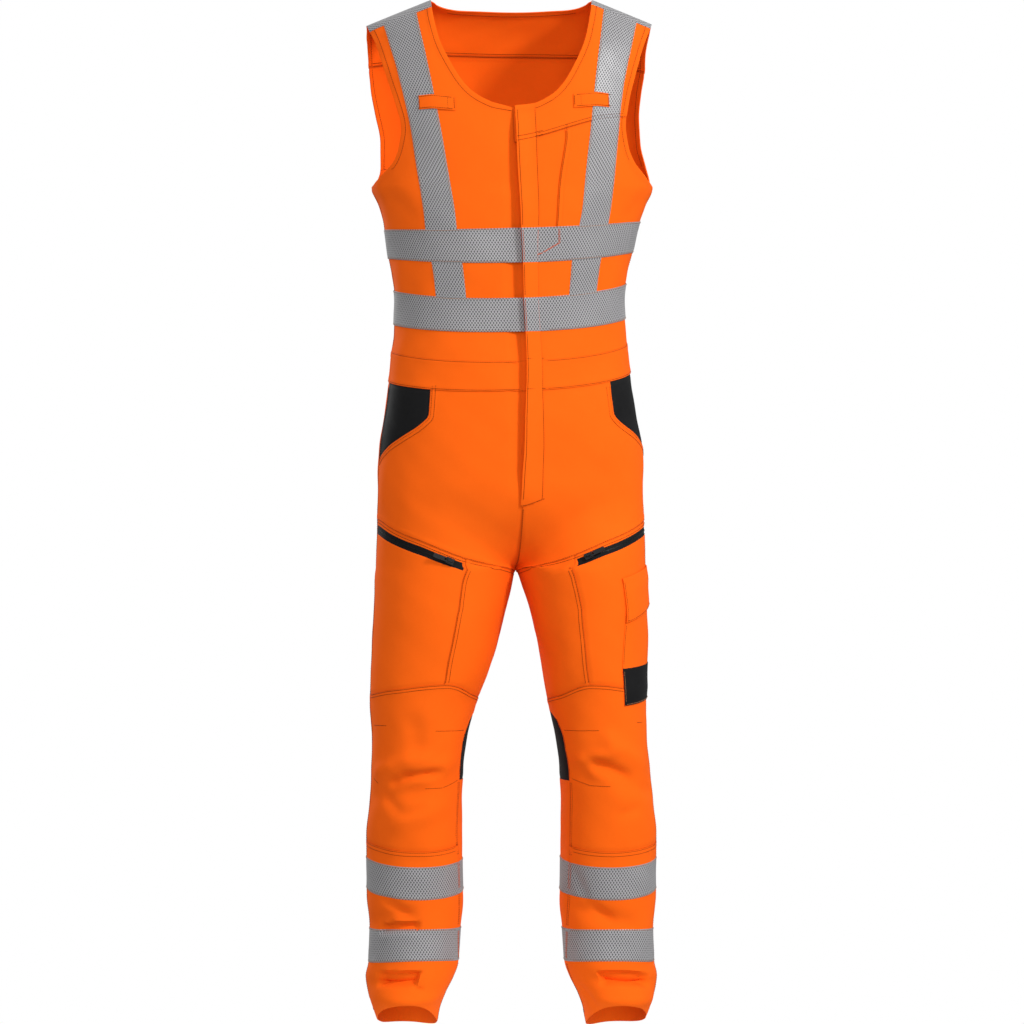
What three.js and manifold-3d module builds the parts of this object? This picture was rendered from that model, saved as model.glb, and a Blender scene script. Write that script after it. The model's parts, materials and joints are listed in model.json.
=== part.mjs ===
// A sleeveless high-visibility coverall, filled out as if worn.
// Millimetres, +Z up, the front faces -Y, and the wearer's left is +X.
// Heights are counted from the hem line; the finished group hangs from the point between the shoulders.
import * as THREE from 'three';
import Module from 'manifold-3d';
import { mergeVertices } from 'three/addons/utils/BufferGeometryUtils.js';

const wasm = await Module();
wasm.setup();

// ---------------------------------------------------------------- driving sizes
const neckPointHeight = 1514;
const shoulderEndHeight = 1479;
const neckPointAcross = 119;
const shoulderEndAcross = 207;
const holdDepth = 33;
const armpitHeight = 1236;
const hipHeight = 800;
const crotchHeight = 676;

const clothWall = 2;
const seamGap = 0.3;
const layerGap = 0.3;
const tapeWall = 1;
const pocketWall = 1.6;

const torsoRoundness = 0.86;
const legRoundness = 0.95;
const shoulderRoundness = 2.4;
const shoulderWay = 340;
const ridgeDepth = 10;
const topWay = armpitHeight + shoulderWay;

const colours = {
  orange: 0xfe6c16,
  black: 0x1f1f20,
  tape: 0x979596,
  hardware: 0x161617,
};

// ---------------------------------------------------------------- smooth tables
// A table's rows are joined by a smooth curve that never overshoots them.
function curveThrough(rows, key, column) {
  const last = rows.length - 1;
  const rise = rows.slice(1).map((row, i) => (row[column] - rows[i][column]) / (row[key] - rows[i][key]));
  const slopes = rows.map((row, i) => {
    if (i === 0) return rise[0];
    if (i === last) return rise[last - 1];
    const product = rise[i - 1] * rise[i];
    return product <= 0 ? 0 : (2 * product) / (rise[i - 1] + rise[i]);
  });
  return (at) => {
    const place = THREE.MathUtils.clamp(at, rows[0][key], rows[last][key]);
    let i = 0;
    while (i < last - 1 && place > rows[i + 1][key]) i += 1;
    const step = rows[i + 1][key] - rows[i][key];
    const u = (place - rows[i][key]) / step;
    return (1 + 2 * u) * (1 - u) ** 2 * rows[i][column]
      + u * (1 - u) ** 2 * step * slopes[i]
      + u ** 2 * (3 - 2 * u) * rows[i + 1][column]
      + u ** 2 * (u - 1) * step * slopes[i + 1];
  };
}

function sectionTable(rows) {
  const columns = Object.keys(rows[0]).filter((name) => name !== 'height');
  const curves = columns.map((name) => [name, curveThrough(rows, 'height', name)]);
  return (height) => Object.fromEntries(curves.map(([name, curve]) => [name, curve(height)]));
}

// Rings of the trunk: half width, reach to the front and back, twist about Z, and the ring's middle.
const trunkAt = sectionTable([
  { height: 600, half: 198, front: 96, back: 118, twist: 9, x: 0, y: 4 },
  { height: 709, half: 198, front: 106, back: 128, twist: 9, x: -1, y: 4 },
  { height: 756, half: 198, front: 112, back: 132, twist: 9, x: -1, y: 4 },
  { height: 804, half: 198, front: 116, back: 130, twist: 9, x: -1, y: 4 },
  { height: 851, half: 195, front: 119, back: 124, twist: 9, x: 0, y: 3 },
  { height: 898, half: 188, front: 120, back: 112, twist: 9, x: -1, y: 2 },
  { height: 945, half: 181, front: 119, back: 100, twist: 9, x: -2, y: 2 },
  { height: 985, half: 177, front: 117, back: 94, twist: 8.5, x: -2, y: 2 },
  { height: 1017, half: 172, front: 116, back: 92, twist: 7.5, x: -2, y: 2 },
  { height: 1064, half: 170, front: 117, back: 94, twist: 6.5, x: -3, y: 2 },
  { height: 1111, half: 175, front: 120, back: 99, twist: 6, x: -3, y: 2 },
  { height: 1159, half: 184, front: 123, back: 105, twist: 5, x: -1, y: 3 },
  { height: 1182, half: 189, front: 124, back: 108, twist: 5, x: 0, y: 3 },
  { height: 1210, half: 198, front: 124, back: 110, twist: 4.5, x: 1, y: 4 },
  { height: 1236, half: 208, front: 123, back: 111, twist: 4, x: 1, y: 5 },
  { height: 1262, half: 208, front: 123, back: 111, twist: 3.5, x: 1, y: 5 },
  { height: 1300, half: 213, front: 123, back: 111, twist: 3, x: 1, y: 5 },
  { height: 1370, half: 217, front: 123, back: 111, twist: 2, x: 0, y: 5 },
  { height: 1511, half: 218, front: 123, back: 111, twist: 0, x: 0, y: 5 },
]);

// Rings of a leg: distances from the middle plane to its outer and inner side, how far both legs' outer sides
// lean and their middle lies along X, and its reach along Y.
const legAt = sectionTable([
  { height: -20, outer: 190, inner: 112, lean: 0, middle: 0, front: -58, back: 84, twist: 4 },
  { height: 4, outer: 198, inner: 110, lean: 0, middle: 0, front: -62, back: 82, twist: 4 },
  { height: 22, outer: 205, inner: 107, lean: 0, middle: 0, front: -70, back: 80, twist: 4 },
  { height: 46, outer: 212, inner: 98, lean: 0, middle: 0, front: -78, back: 78, twist: 5 },
  { height: 70, outer: 215, inner: 86, lean: 0, middle: 0, front: -79, back: 77, twist: 5 },
  { height: 93, outer: 210, inner: 78, lean: 0, middle: 0, front: -74, back: 78, twist: 5 },
  { height: 141, outer: 210, inner: 75, lean: 0, middle: 0, front: -71, back: 82, twist: 5 },
  { height: 188, outer: 214, inner: 72, lean: 0, middle: 0, front: -72, back: 86, twist: 6 },
  { height: 235, outer: 214, inner: 72, lean: 0, middle: 0, front: -74, back: 88, twist: 6 },
  { height: 283, outer: 214, inner: 73, lean: 0, middle: 0, front: -78, back: 84, twist: 6 },
  { height: 330, outer: 210, inner: 73, lean: 0, middle: 0, front: -82, back: 77, twist: 7 },
  { height: 377, outer: 205, inner: 71, lean: -1, middle: 0, front: -87, back: 72, twist: 7 },
  { height: 425, outer: 203, inner: 64, lean: -3, middle: 0, front: -90, back: 76, twist: 7 },
  { height: 472, outer: 204, inner: 54, lean: -5, middle: 1, front: -93, back: 84, twist: 7.5 },
  { height: 520, outer: 203, inner: 40, lean: -5, middle: 6, front: -97, back: 92, twist: 7.5 },
  { height: 567, outer: 202, inner: 28.5, lean: -3.5, middle: 9.3, front: -100, back: 100, twist: 8 },
  { height: 614, outer: 201, inner: 17, lean: -3, middle: 9.5, front: -102, back: 108, twist: 8 },
  { height: 662, outer: 200, inner: 4.5, lean: -1.5, middle: 7, front: -102, back: 116, twist: 8.5 },
  { height: 676, outer: 199, inner: 0, lean: -1, middle: 6, front: -102, back: 118, twist: 9 },
  { height: 800, outer: 198, inner: 0, lean: 0, middle: 4, front: -108, back: 128, twist: 9 },
]);

// The largest folds, as soft ridges (+) and troughs (-) from one place on the cloth to another.
const folds = [
  { side: -1, turn: 0.20, way: 352, toTurn: 0.46, toWay: 338, wide: 13, deep: -5 },
  { side: -1, turn: 0.10, way: 392, toTurn: 0.34, toWay: 372, wide: 14, deep: 4 },
  { side: -1, turn: 0.14, way: 330, toTurn: 0.36, toWay: 296, wide: 16, deep: 4 },
  { side: 1, turn: 0.10, way: 378, toTurn: 0.40, toWay: 350, wide: 13, deep: -4 },
  { side: 1, turn: 0.22, way: 424, toTurn: 0.42, toWay: 382, wide: 15, deep: 4 },
  { side: -1, turn: 0.24, way: 176, toTurn: 0.46, toWay: 150, wide: 11, deep: -5 },
  { side: 1, turn: 0.08, way: 182, toTurn: 0.34, toWay: 150, wide: 12, deep: -5 },
  { side: -1, turn: 0.22, way: 66, toTurn: 0.46, toWay: 66, wide: 11, deep: -7 },
  { side: -1, turn: 0.10, way: 44, toTurn: 0.40, toWay: 40, wide: 9, deep: 4 },
  { side: 1, turn: 0.10, way: 74, toTurn: 0.46, toWay: 66, wide: 12, deep: -7 },
  { side: 1, turn: 0.12, way: 44, toTurn: 0.44, toWay: 38, wide: 9, deep: 4 },
  { side: -1, turn: 0.56, way: 360, toTurn: 0.92, toWay: 380, wide: 14, deep: -5 },
  { side: 1, turn: 0.58, way: 372, toTurn: 0.94, toWay: 366, wide: 14, deep: -5 },
  { side: -1, turn: 0.60, way: 60, toTurn: 0.90, toWay: 70, wide: 12, deep: -5 },
  { side: 1, turn: 0.60, way: 70, toTurn: 0.90, toWay: 58, wide: 12, deep: -5 },
];
const foldTurnLength = 440;

// ---------------------------------------------------------------- the cloth's surface
// A place on the cloth is a side (1 left, -1 right), a turn and a way up.
// The turn runs from the front middle (0) round the outer side (0.5) to the back middle (1); on a leg
// both ends are the inseam. The way is the height up to the armpits and runs on over the shoulder.
function signedPower(value, power) {
  return Math.sign(value) * Math.abs(value) ** power;
}

function ridgeHeight(across) {
  const share = (Math.abs(across) - neckPointAcross) / (shoulderEndAcross - neckPointAcross);
  return neckPointHeight - (neckPointHeight - shoulderEndHeight) * THREE.MathUtils.clamp(share, 0, 1.2);
}

// Past the top of the shoulder the way runs down again on the other face.
const climbed = (way) => Math.min(way, 2 * topWay - way);

function trunkPoint(side, turn, way) {
  const up = climbed(way);
  const low = trunkAt(Math.min(up, armpitHeight));
  const angle = Math.PI * turn;
  const across = side * trunkAt(up).half * signedPower(Math.sin(angle), torsoRoundness);
  const facing = signedPower(Math.cos(angle), torsoRoundness) * (up < way ? -1 : 1);
  let deep = facing > 0 ? -low.front * facing : -low.back * facing;
  let height = up;
  if (up > armpitHeight) {
    const climb = (Math.PI / 2) * ((up - armpitHeight) / shoulderWay);
    const rise = Math.sin(climb) ** (2 / shoulderRoundness);
    const spread = Math.max(Math.cos(climb), 0) ** (2 / shoulderRoundness);
    const ridge = ridgeDepth - low.y;
    height = armpitHeight + rise * (ridgeHeight(across) - armpitHeight);
    deep = ridge + (deep - ridge) * spread;
  }
  const { twist, x } = trunkAt(height);
  const turned = THREE.MathUtils.degToRad(twist);
  return new THREE.Vector3(
    x + across * Math.cos(turned) - deep * Math.sin(turned),
    low.y + deep * Math.cos(turned) + across * Math.sin(turned),
    height,
  );
}

function legPoint(side, turn, way) {
  const ring = legAt(way);
  const settle = THREE.MathUtils.clamp((crotchHeight - way) / 60, 0, 1);
  const angle = 2 * Math.PI * turn + side * settle * THREE.MathUtils.degToRad(ring.twist);
  const outer = side * ring.outer + ring.lean;
  const inner = side * ring.inner + ring.middle;
  const middle = (outer + inner) / 2;
  const half = Math.abs(outer - inner) / 2;
  const depth = (ring.back - ring.front) / 2;
  return new THREE.Vector3(
    middle - side * half * signedPower(Math.cos(angle), legRoundness),
    (ring.front + ring.back) / 2 - depth * signedPower(Math.sin(angle), legRoundness),
    way,
  );
}

function bodyPoint(side, turn, way) {
  if (way >= hipHeight) return trunkPoint(side, turn, way);
  const leg = legPoint(side, turn, way);
  if (way <= crotchHeight) return leg;
  const rise = (way - crotchHeight) / (hipHeight - crotchHeight);
  const nearMiddle = Math.abs(Math.cos(Math.PI * turn)) ** 4;
  const gentle = rise * rise * (3 - 2 * rise);
  const quick = Math.sqrt(1 - (1 - rise) ** 2);
  return leg.lerp(trunkPoint(side, turn, way), gentle + (quick - gentle) * nearMiddle);
}

function foldAt(side, turn, way) {
  const place = way < crotchHeight && turn > 1 ? turn - 1 : turn;
  let sum = 0;
  for (const fold of folds) {
    if (fold.side !== side) continue;
    const alongX = (fold.toTurn - fold.turn) * foldTurnLength;
    const alongY = fold.toWay - fold.way;
    const fromX = (place - fold.turn) * foldTurnLength;
    const fromY = way - fold.way;
    const length = Math.hypot(alongX, alongY);
    const share = (fromX * alongX + fromY * alongY) / length ** 2;
    const aside = (fromX * alongY - fromY * alongX) / length;
    const rise = THREE.MathUtils.smoothstep(share, -0.15, 0.35);
    const fall = 1 - THREE.MathUtils.smoothstep(share, 0.65, 1.15);
    sum += fold.deep * rise * fall * Math.exp(-((aside / fold.wide) ** 2));
  }
  return sum;
}

// The place's point on the cloth's outer face, its outward direction and how long a unit of turn or way is.
const turnProbe = 0.002;
const wayProbe = 0.5;

function clothAt(side, turn, way) {
  const acrossStep = bodyPoint(side, turn + turnProbe, way).sub(bodyPoint(side, turn - turnProbe, way));
  const upStep = bodyPoint(side, turn, way + wayProbe).sub(bodyPoint(side, turn, way - wayProbe));
  const outward = acrossStep.clone().cross(upStep).multiplyScalar(side).normalize();
  return {
    outward,
    point: bodyPoint(side, turn, way).addScaledVector(outward, foldAt(side, turn, way)),
    turnLength: acrossStep.length() / (2 * turnProbe),
    wayLength: upStep.length() / (2 * wayProbe),
  };
}

// ---------------------------------------------------------------- lines and levels
// A line runs up the cloth: it gives the turn at a height. A level runs across: it gives the way at a turn.
const atTurn = (turn) => () => turn;
const atWay = (way) => () => way;

function turnOf(across, way) {
  const { half } = trunkAt(climbed(way));
  return Math.asin(Math.min((across / half) ** (1 / torsoRoundness), 1)) / Math.PI;
}

function heightOf(turn, way) {
  return trunkPoint(1, turn, way).z;
}

function acrossLine(rows) {
  const across = curveThrough(rows, 'height', 'across');
  return (way, turn) => {
    const height = way > armpitHeight ? heightOf(turn, way) : way;
    return turnOf(across(height), way);
  };
}

const onBack = (line) => (way, turn) => 1 - line(way, 1 - turn);
const onFarBack = (line) => (way, turn) => 1 + line(way, turn - 1);
const lineOfTurns = (rows) => curveThrough(rows, 'height', 'turn');
const levelOfTurns = (rows) => curveThrough(rows, 'turn', 'way');
const raised = (level, rise) => (turn, side) => level(turn, side) + rise;

// A tilt lifts the wearer's left and lowers the right.
function trunkLevel(front, outer, back, tilt = 0) {
  return (turn, side = 1) => {
    const facing = Math.cos(Math.PI * turn);
    const tilted = tilt * side * Math.sin(Math.PI * turn);
    return outer + tilted + ((front - back) / 2) * facing + ((front + back) / 2 - outer) * facing ** 2;
  };
}

// Past the top of the shoulder a line or level of the front is met again from the back.
const frontTurn = (turn) => (turn < 1 ? 1 - turn : turn - 1);
const overTop = (back, front) => (way, turn) => (way > topWay ? front(climbed(way), turn) : back(way, turn));
const pastTop = (level) => (turn) => 2 * topWay - level(frontTurn(turn));

function legLevel(inner, front, outer, back) {
  const ends = (inner + outer) / 2;
  const faces = (front + back) / 2;
  return (turn) => {
    const angle = 2 * Math.PI * turn;
    return (ends + faces) / 2 + ((ends - faces) / 2) * Math.cos(2 * angle)
      + ((inner - outer) / 2) * Math.cos(angle) + ((front - back) / 2) * Math.sin(angle);
  };
}

// Lines of the trunk, in distances from the garment's own middle.
const centre = atTurn(0);
const backCentre = atTurn(1);
const placketWidth = 29;
const placketEdge = acrossLine([
  { height: 770, across: 1 },
  { height: 870, across: 4 },
  { height: 950, across: 7 },
  { height: 1040, across: 9 },
  { height: 1129, across: 8 },
  { height: 1209, across: 4 },
  { height: 1300, across: 0.5 },
  { height: 1345, across: 0 },
]);
const placketStitch = acrossLine([
  { height: 690, across: 35.6 },
  { height: 770, across: placketWidth },
  { height: 1500, across: placketWidth },
]);
const neckFront = acrossLine([
  { height: 1345, across: 0 },
  { height: 1351, across: 32 },
  { height: 1373, across: 66 },
  { height: 1408, across: 89 },
  { height: 1449, across: 107 },
  { height: 1491, across: 116 },
  { height: neckPointHeight, across: neckPointAcross },
]);
const shoulderEnds = { left: 208, right: 215 };
const armFront = {
  left: acrossLine([
    { height: armpitHeight, across: 208 },
    { height: 1248, across: 195 },
    { height: 1268, across: 175 },
    { height: 1290, across: 166 },
    { height: 1318, across: 162.5 },
    { height: 1350, across: 168 },
    { height: 1385, across: 176.5 },
    { height: 1435, across: 192 },
    { height: shoulderEndHeight, across: shoulderEnds.left },
  ]),
  right: acrossLine([
    { height: armpitHeight, across: 208 },
    { height: 1248, across: 196 },
    { height: 1268, across: 178 },
    { height: 1290, across: 170 },
    { height: 1318, across: 166 },
    { height: 1350, across: 171.5 },
    { height: 1385, across: 182 },
    { height: 1435, across: 197 },
    { height: shoulderEndHeight, across: shoulderEnds.right },
  ]),
};
const armBack = {
  left: acrossLine([
    { height: armpitHeight, across: 208 },
    { height: 1248, across: 207 },
    { height: 1268, across: 203 },
    { height: 1305, across: 195.5 },
    { height: 1345, across: 194 },
    { height: 1378, across: 196 },
    { height: 1411, across: 199.5 },
    { height: 1443, across: 202 },
    { height: shoulderEndHeight, across: shoulderEnds.left },
  ]),
  right: acrossLine([
    { height: armpitHeight, across: 208 },
    { height: 1248, across: 200 },
    { height: 1268, across: 194 },
    { height: 1305, across: 194 },
    { height: 1345, across: 201 },
    { height: 1378, across: 207.5 },
    { height: 1411, across: 211.5 },
    { height: 1443, across: 213.5 },
    { height: shoulderEndHeight, across: shoulderEnds.right },
  ]),
};
const braceInner = acrossLine([
  { height: 1000, across: 70 },
  { height: 1070, across: 75.5 },
  { height: 1118, across: 80 },
  { height: 1170, across: 89 },
  { height: 1361, across: 116 },
  { height: 1503, across: 137 },
]);
const braceOuter = acrossLine([
  { height: 1000, across: 112 },
  { height: 1070, across: 117.5 },
  { height: 1118, across: 123 },
  { height: 1170, across: 133 },
  { height: 1361, across: 158.5 },
  { height: 1483, across: 185.5 },
]);
const neckEndLine = acrossLine([
  { height: 900, across: neckPointAcross },
  { height: neckPointHeight, across: neckPointAcross },
]);

function above(way, upper, lower) {
  return (place, turn) => (place > way ? upper(place, turn) : lower(place, turn));
}

const neckWay = 1308;
const openingEdge = above(neckWay, neckFront, centre);
const frontSide = {
  left: above(armpitHeight, armFront.left, atTurn(0.5)),
  right: above(armpitHeight, armFront.right, atTurn(0.5)),
};
const backSide = above(armpitHeight, onBack(armBack.left), atTurn(0.5));
const farBackSide = above(armpitHeight, onFarBack(armBack.right), atTurn(1.5));

// Levels of the trunk.
const waistLower = trunkLevel(932, 956, 962, 9);
const waistUpper = trunkLevel(976, 1001, 1007, 8);
const lowerTapeBottom = trunkLevel(1018, 1038.5, 1046, 6.5);
const lowerTapeTop = trunkLevel(1067, 1090, 1096, 7);
const upperTapeBottom = trunkLevel(1118, 1136, 1139, 6);
const upperTapeTop = trunkLevel(1168, 1180.5, 1187, 7.5);
const armpitLevel = trunkLevel(1222, armpitHeight, armpitHeight);
const armCurveLevel = trunkLevel(1240, 1248, 1250);
const frontYokeSeam = levelOfTurns([
  { turn: 0, way: 1268 },
  { turn: 0.15, way: 1291 },
  { turn: 0.3, way: 1308 },
]);
const neckLevel = levelOfTurns([
  { turn: 0, way: neckWay },
  { turn: 0.3, way: neckWay + 36 },
]);
const neckCurveLevels = [
  { way: 1313, rise: 32 },
  { way: 1332, rise: 25 },
  { way: 1366, rise: 18 },
  { way: 1414, rise: 11 },
  { way: 1480, rise: 4 },
].map(({ way, rise }) => levelOfTurns([{ turn: 0, way }, { turn: 0.3, way: way + rise }]));
const shoulderTop = atWay(topWay);
const backYokeSeam = atWay(1404);
const shoulderTapeWay = 1536;
const shoulderTapeFront = { left: 1509, right: 1498 };
const shoulderTapeBack = { left: 1570, right: 1573 };
const yokeFold = levelOfTurns([
  { turn: 0.8, way: shoulderTapeWay },
  { turn: 0.835, way: shoulderTapeWay - 2 },
  { turn: 0.868, way: 1519 },
  { turn: 0.905, way: 1506 },
  { turn: 1, way: 1499 },
  { turn: 1.095, way: 1506 },
  { turn: 1.132, way: 1519 },
  { turn: 1.165, way: shoulderTapeWay - 2 },
  { turn: 1.2, way: shoulderTapeWay },
]);
const backNeck = levelOfTurns([
  { turn: 0.8, way: topWay },
  { turn: 0.836, way: topWay - 1 },
  { turn: 0.85, way: 1542 },
  { turn: 0.876, way: 1523 },
  { turn: 0.905, way: 1515 },
  { turn: 1, way: 1508 },
  { turn: 1.095, way: 1515 },
  { turn: 1.124, way: 1523 },
  { turn: 1.15, way: 1542 },
  { turn: 1.164, way: topWay - 1 },
  { turn: 1.2, way: topWay },
]);

// Levels and lines of the hips and legs.
const hipPocketTurn = 0.25;
const sided = (left, right) => (way, turn, side) => (side > 0 ? left : right)(way);
const hipPocketEdge = sided(
  lineOfTurns([
    { height: 841, turn: 0.5 },
    { height: 845, turn: 0.49 },
    { height: 893, turn: 0.262 },
    { height: 901, turn: hipPocketTurn },
    { height: 970, turn: hipPocketTurn },
  ]),
  lineOfTurns([
    { height: 830, turn: 0.5 },
    { height: 834, turn: 0.49 },
    { height: 886, turn: 0.258 },
    { height: 897, turn: 0.238 },
    { height: 970, turn: 0.243 },
  ]),
);
const hipMiddle = sided(
  lineOfTurns([
    { height: 760, turn: 1 / 3 },
    { height: 845, turn: 0.33 },
    { height: 901, turn: 0.241 },
  ]),
  lineOfTurns([
    { height: 760, turn: 1 / 3 },
    { height: 835, turn: 0.33 },
    { height: 893, turn: 0.226 },
  ]),
);
const pocketCorner = trunkLevel(884, 908, 908);
const pocketTip = trunkLevel(830, 839.5, 850, 5.5);
const hipLevel = trunkLevel(792, 800, 800);
const flyEnd = trunkLevel(768, 778, 770);
const thighSeam = levelOfTurns([
  { turn: 0, way: 667 },
  { turn: 0.07, way: 672 },
  { turn: 0.134, way: 679.5 },
  { turn: 0.2, way: 690 },
  { turn: 0.305, way: 716 },
  { turn: 0.5, way: 745 },
  { turn: 0.75, way: 716 },
  { turn: 0.9, way: 679 },
  { turn: 1, way: 667 },
]);
const zipDrop = { top: 6, bottom: 19 };
const zipTop = raised(thighSeam, -zipDrop.top);
const zipBottom = raised(thighSeam, -zipDrop.bottom);
const kneeSeam = levelOfTurns([
  { turn: 0, way: 481 },
  { turn: 0.1, way: 489 },
  { turn: 0.217, way: 505 },
  { turn: 0.36, way: 497 },
  { turn: 0.5, way: 488 },
  { turn: 0.75, way: 490 },
  { turn: 1, way: 481 },
]);
const gussetTopHeight = 464;
const gussetBottomHeight = 363;
const gussetTop = atWay(gussetTopHeight);
const gussetBottom = atWay(gussetBottomHeight);
const gussetUpperTip = atWay(gussetTopHeight + 1);
const gussetLowerTip = atWay(gussetBottomHeight - 1);
const kneeBottomSeam = legLevel(271, 260, 272, 275);
const legTapes = {
  upper: { top: legLevel(246, 237, 247, 250), bottom: legLevel(198, 189, 200, 202) },
  lower: { top: legLevel(143, 146, 142, 146), bottom: legLevel(94, 100, 92, 96) },
};
const hemLevel = legLevel(0, 33, 4, -9);
const thighSplit = sided(
  lineOfTurns([
    { height: 508, turn: 0.2117 },
    { height: 626, turn: 0.2217 },
    { height: 672, turn: 0.233 },
    { height: 720, turn: 0.236 },
  ]),
  lineOfTurns([
    { height: 505, turn: 0.2247 },
    { height: 572, turn: 0.234 },
    { height: 669, turn: 0.2147 },
    { height: 720, turn: 0.211 },
  ]),
);
const cargoFront = atTurn(1 / 3);
const sideSeam = atTurn(0.5);
const cargoBack = atTurn(0.5 + 1 / 12);
const innerSeam = atTurn(0);

// Lines and levels of what is sewn on.
const constantLine = (across) => acrossLine([{ height: 900, across }, { height: neckPointHeight, across }]);
const loopInner = constantLine(86);
const loopOuter = constantLine(138);
const loopBottom = levelOfTurns([{ turn: 0.1, way: 1302 }, { turn: 0.22, way: 1308 }]);
const loopTop = levelOfTurns([{ turn: 0.1, way: 1319 }, { turn: 0.22, way: 1326 }]);
const loopRise = { right: 0, left: 4 };
const slitRows = [
  { height: 1150, across: 54.5 },
  { height: 1209, across: 57.5 },
  { height: 1299, across: 72.5 },
];
const weltWidth = 7;
const weltMargin = { bottom: 2, top: 10 };
const pocketSlit = acrossLine(slitRows);
const weltRows = slitRows.map(({ height, across }) => ({ height, across: across + weltWidth }));
const pocketSlitStitch = acrossLine(weltRows);
function cargoLevel(front, side, back) {
  return levelOfTurns([{ turn: 0.333, way: front }, { turn: 0.5, way: side }, { turn: 0.6, way: back }]);
}
const cargoFlapTop = cargoLevel(655, 675, 679);
const cargoFlapBottom = cargoLevel(594, 622, 626);
const cargoPatchTop = cargoLevel(528, 536, 540);
const cargoBottom = cargoLevel(473, 482, 486);
const sliderLift = layerGap + tapeWall + 1;

// The knee gusset's front edge goes on down the shin as the inner seam of the leg. The gusset has a blunt
// top and a cut-off bottom, and the back leg goes round them within the one millimetre rows beside them.
const frontInseam = lineOfTurns([
  { height: 0, turn: 0.005 },
  { height: 60, turn: 0.02 },
  { height: 150, turn: 0.06 },
  { height: 257, turn: 0.083 },
  { height: 420, turn: 0.083 },
  { height: 450, turn: 0.058 },
  { height: gussetTopHeight, turn: 0.0083 },
  { height: gussetTopHeight + 1, turn: 0 },
]);
const gussetBehind = lineOfTurns([
  { height: gussetBottomHeight, turn: -0.045 },
  { height: 380, turn: -0.058 },
  { height: 430, turn: -0.052 },
  { height: 456, turn: -0.026 },
  { height: gussetTopHeight, turn: -0.006 },
  { height: gussetTopHeight + 1, turn: 0 },
]);
const wholeTurn = (line) => (way) => 1 + line(way);
const backInseam = (way) => wholeTurn(way > gussetBottomHeight - 0.5 ? gussetBehind : frontInseam)(way);

// ---------------------------------------------------------------- cloth pieces
// Marks are lines or levels with the number of equal steps between them: [first, 3, second, 2, third].
function stepsBetween(marks) {
  const steps = [];
  for (let i = 0; i + 2 < marks.length; i += 2) {
    const count = marks[i + 1];
    for (let k = 0; k < count; k += 1) steps.push({ low: marks[i], high: marks[i + 2], share: k / count });
  }
  const last = marks[marks.length - 1];
  steps.push({ low: last, high: last, share: 0 });
  return steps;
}

const settlePasses = 40;

function crossing(side, line, level, guess) {
  let turn = guess;
  let way = 0;
  for (let pass = 0; pass < settlePasses; pass += 1) {
    way = THREE.MathUtils.lerp(level.low(turn, side), level.high(turn, side), level.share);
    const aim = THREE.MathUtils.lerp(line.low(way, turn, side), line.high(way, turn, side), line.share);
    turn = THREE.MathUtils.lerp(turn, aim, 0.5);
  }
  return { turn, way };
}

function clothGrid({ side, lines, levels, guess = 0.2 }) {
  const columns = stepsBetween(lines);
  const rows = stepsBetween(levels);
  return columns.map((line, i) => rows.map((level, j) => {
    const place = crossing(side, line, level, guess);
    const here = clothAt(side, place.turn, place.way);
    if (i === 0) place.turn += seamGap / 2 / here.turnLength;
    if (i === columns.length - 1) place.turn -= seamGap / 2 / here.turnLength;
    if (j === 0) place.way += seamGap / 2 / here.wayLength;
    if (j === rows.length - 1) place.way -= seamGap / 2 / here.wayLength;
    return clothAt(side, place.turn, place.way);
  }));
}

// A wall between two distances from the cloth's outer face, closed round its edges.
function wallGeometry(grid, side, from, to) {
  const columns = grid.length;
  const rows = grid[0].length;
  const positions = [];
  for (const away of [to, from]) {
    for (const column of grid) {
      for (const { point, outward } of column) {
        positions.push(...point.clone().addScaledVector(outward, away).toArray());
      }
    }
  }
  const skin = columns * rows;
  const outer = (i, j) => i * rows + j;
  const inner = (i, j) => skin + i * rows + j;
  const faces = [];
  const quad = (a, b, c, d) => faces.push([a, b, c], [a, c, d]);
  for (let i = 0; i < columns - 1; i += 1) {
    for (let j = 0; j < rows - 1; j += 1) {
      quad(outer(i, j), outer(i + 1, j), outer(i + 1, j + 1), outer(i, j + 1));
      faces.push([inner(i, j), inner(i + 1, j + 1), inner(i + 1, j)]);
      faces.push([inner(i, j), inner(i, j + 1), inner(i + 1, j + 1)]);
    }
    quad(outer(i + 1, 0), outer(i, 0), inner(i, 0), inner(i + 1, 0));
    quad(outer(i, rows - 1), outer(i + 1, rows - 1), inner(i + 1, rows - 1), inner(i, rows - 1));
  }
  for (let j = 0; j < rows - 1; j += 1) {
    quad(outer(0, j), outer(0, j + 1), inner(0, j + 1), inner(0, j));
    quad(outer(columns - 1, j + 1), outer(columns - 1, j), inner(columns - 1, j), inner(columns - 1, j + 1));
  }
  const geometry = new THREE.BufferGeometry();
  geometry.setAttribute('position', new THREE.Float32BufferAttribute(positions, 3));
  geometry.setIndex(faces.flatMap((face) => (side > 0 ? face : [face[0], face[2], face[1]])));
  geometry.computeVertexNormals();
  return geometry;
}

const coverall = new THREE.Group();
coverall.position.z = -(neckPointHeight - holdDepth);

const materials = {
  cloth: new THREE.MeshStandardMaterial({ color: colours.orange, roughness: 0.85, metalness: 0 }),
  blackCloth: new THREE.MeshStandardMaterial({ color: colours.black, roughness: 0.8, metalness: 0 }),
  tape: new THREE.MeshStandardMaterial({ color: colours.tape, roughness: 0.45, metalness: 0 }),
  hardware: new THREE.MeshStandardMaterial({ color: colours.hardware, roughness: 0.35, metalness: 0.6 }),
};

function addMesh(name, geometry, material) {
  const mesh = new THREE.Mesh(geometry, material);
  mesh.name = name;
  coverall.add(mesh);
  return mesh;
}

function addPanel(name, cut, material = materials.cloth) {
  addMesh(name, wallGeometry(clothGrid(cut), cut.side, -clothWall, 0), material);
}

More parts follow.
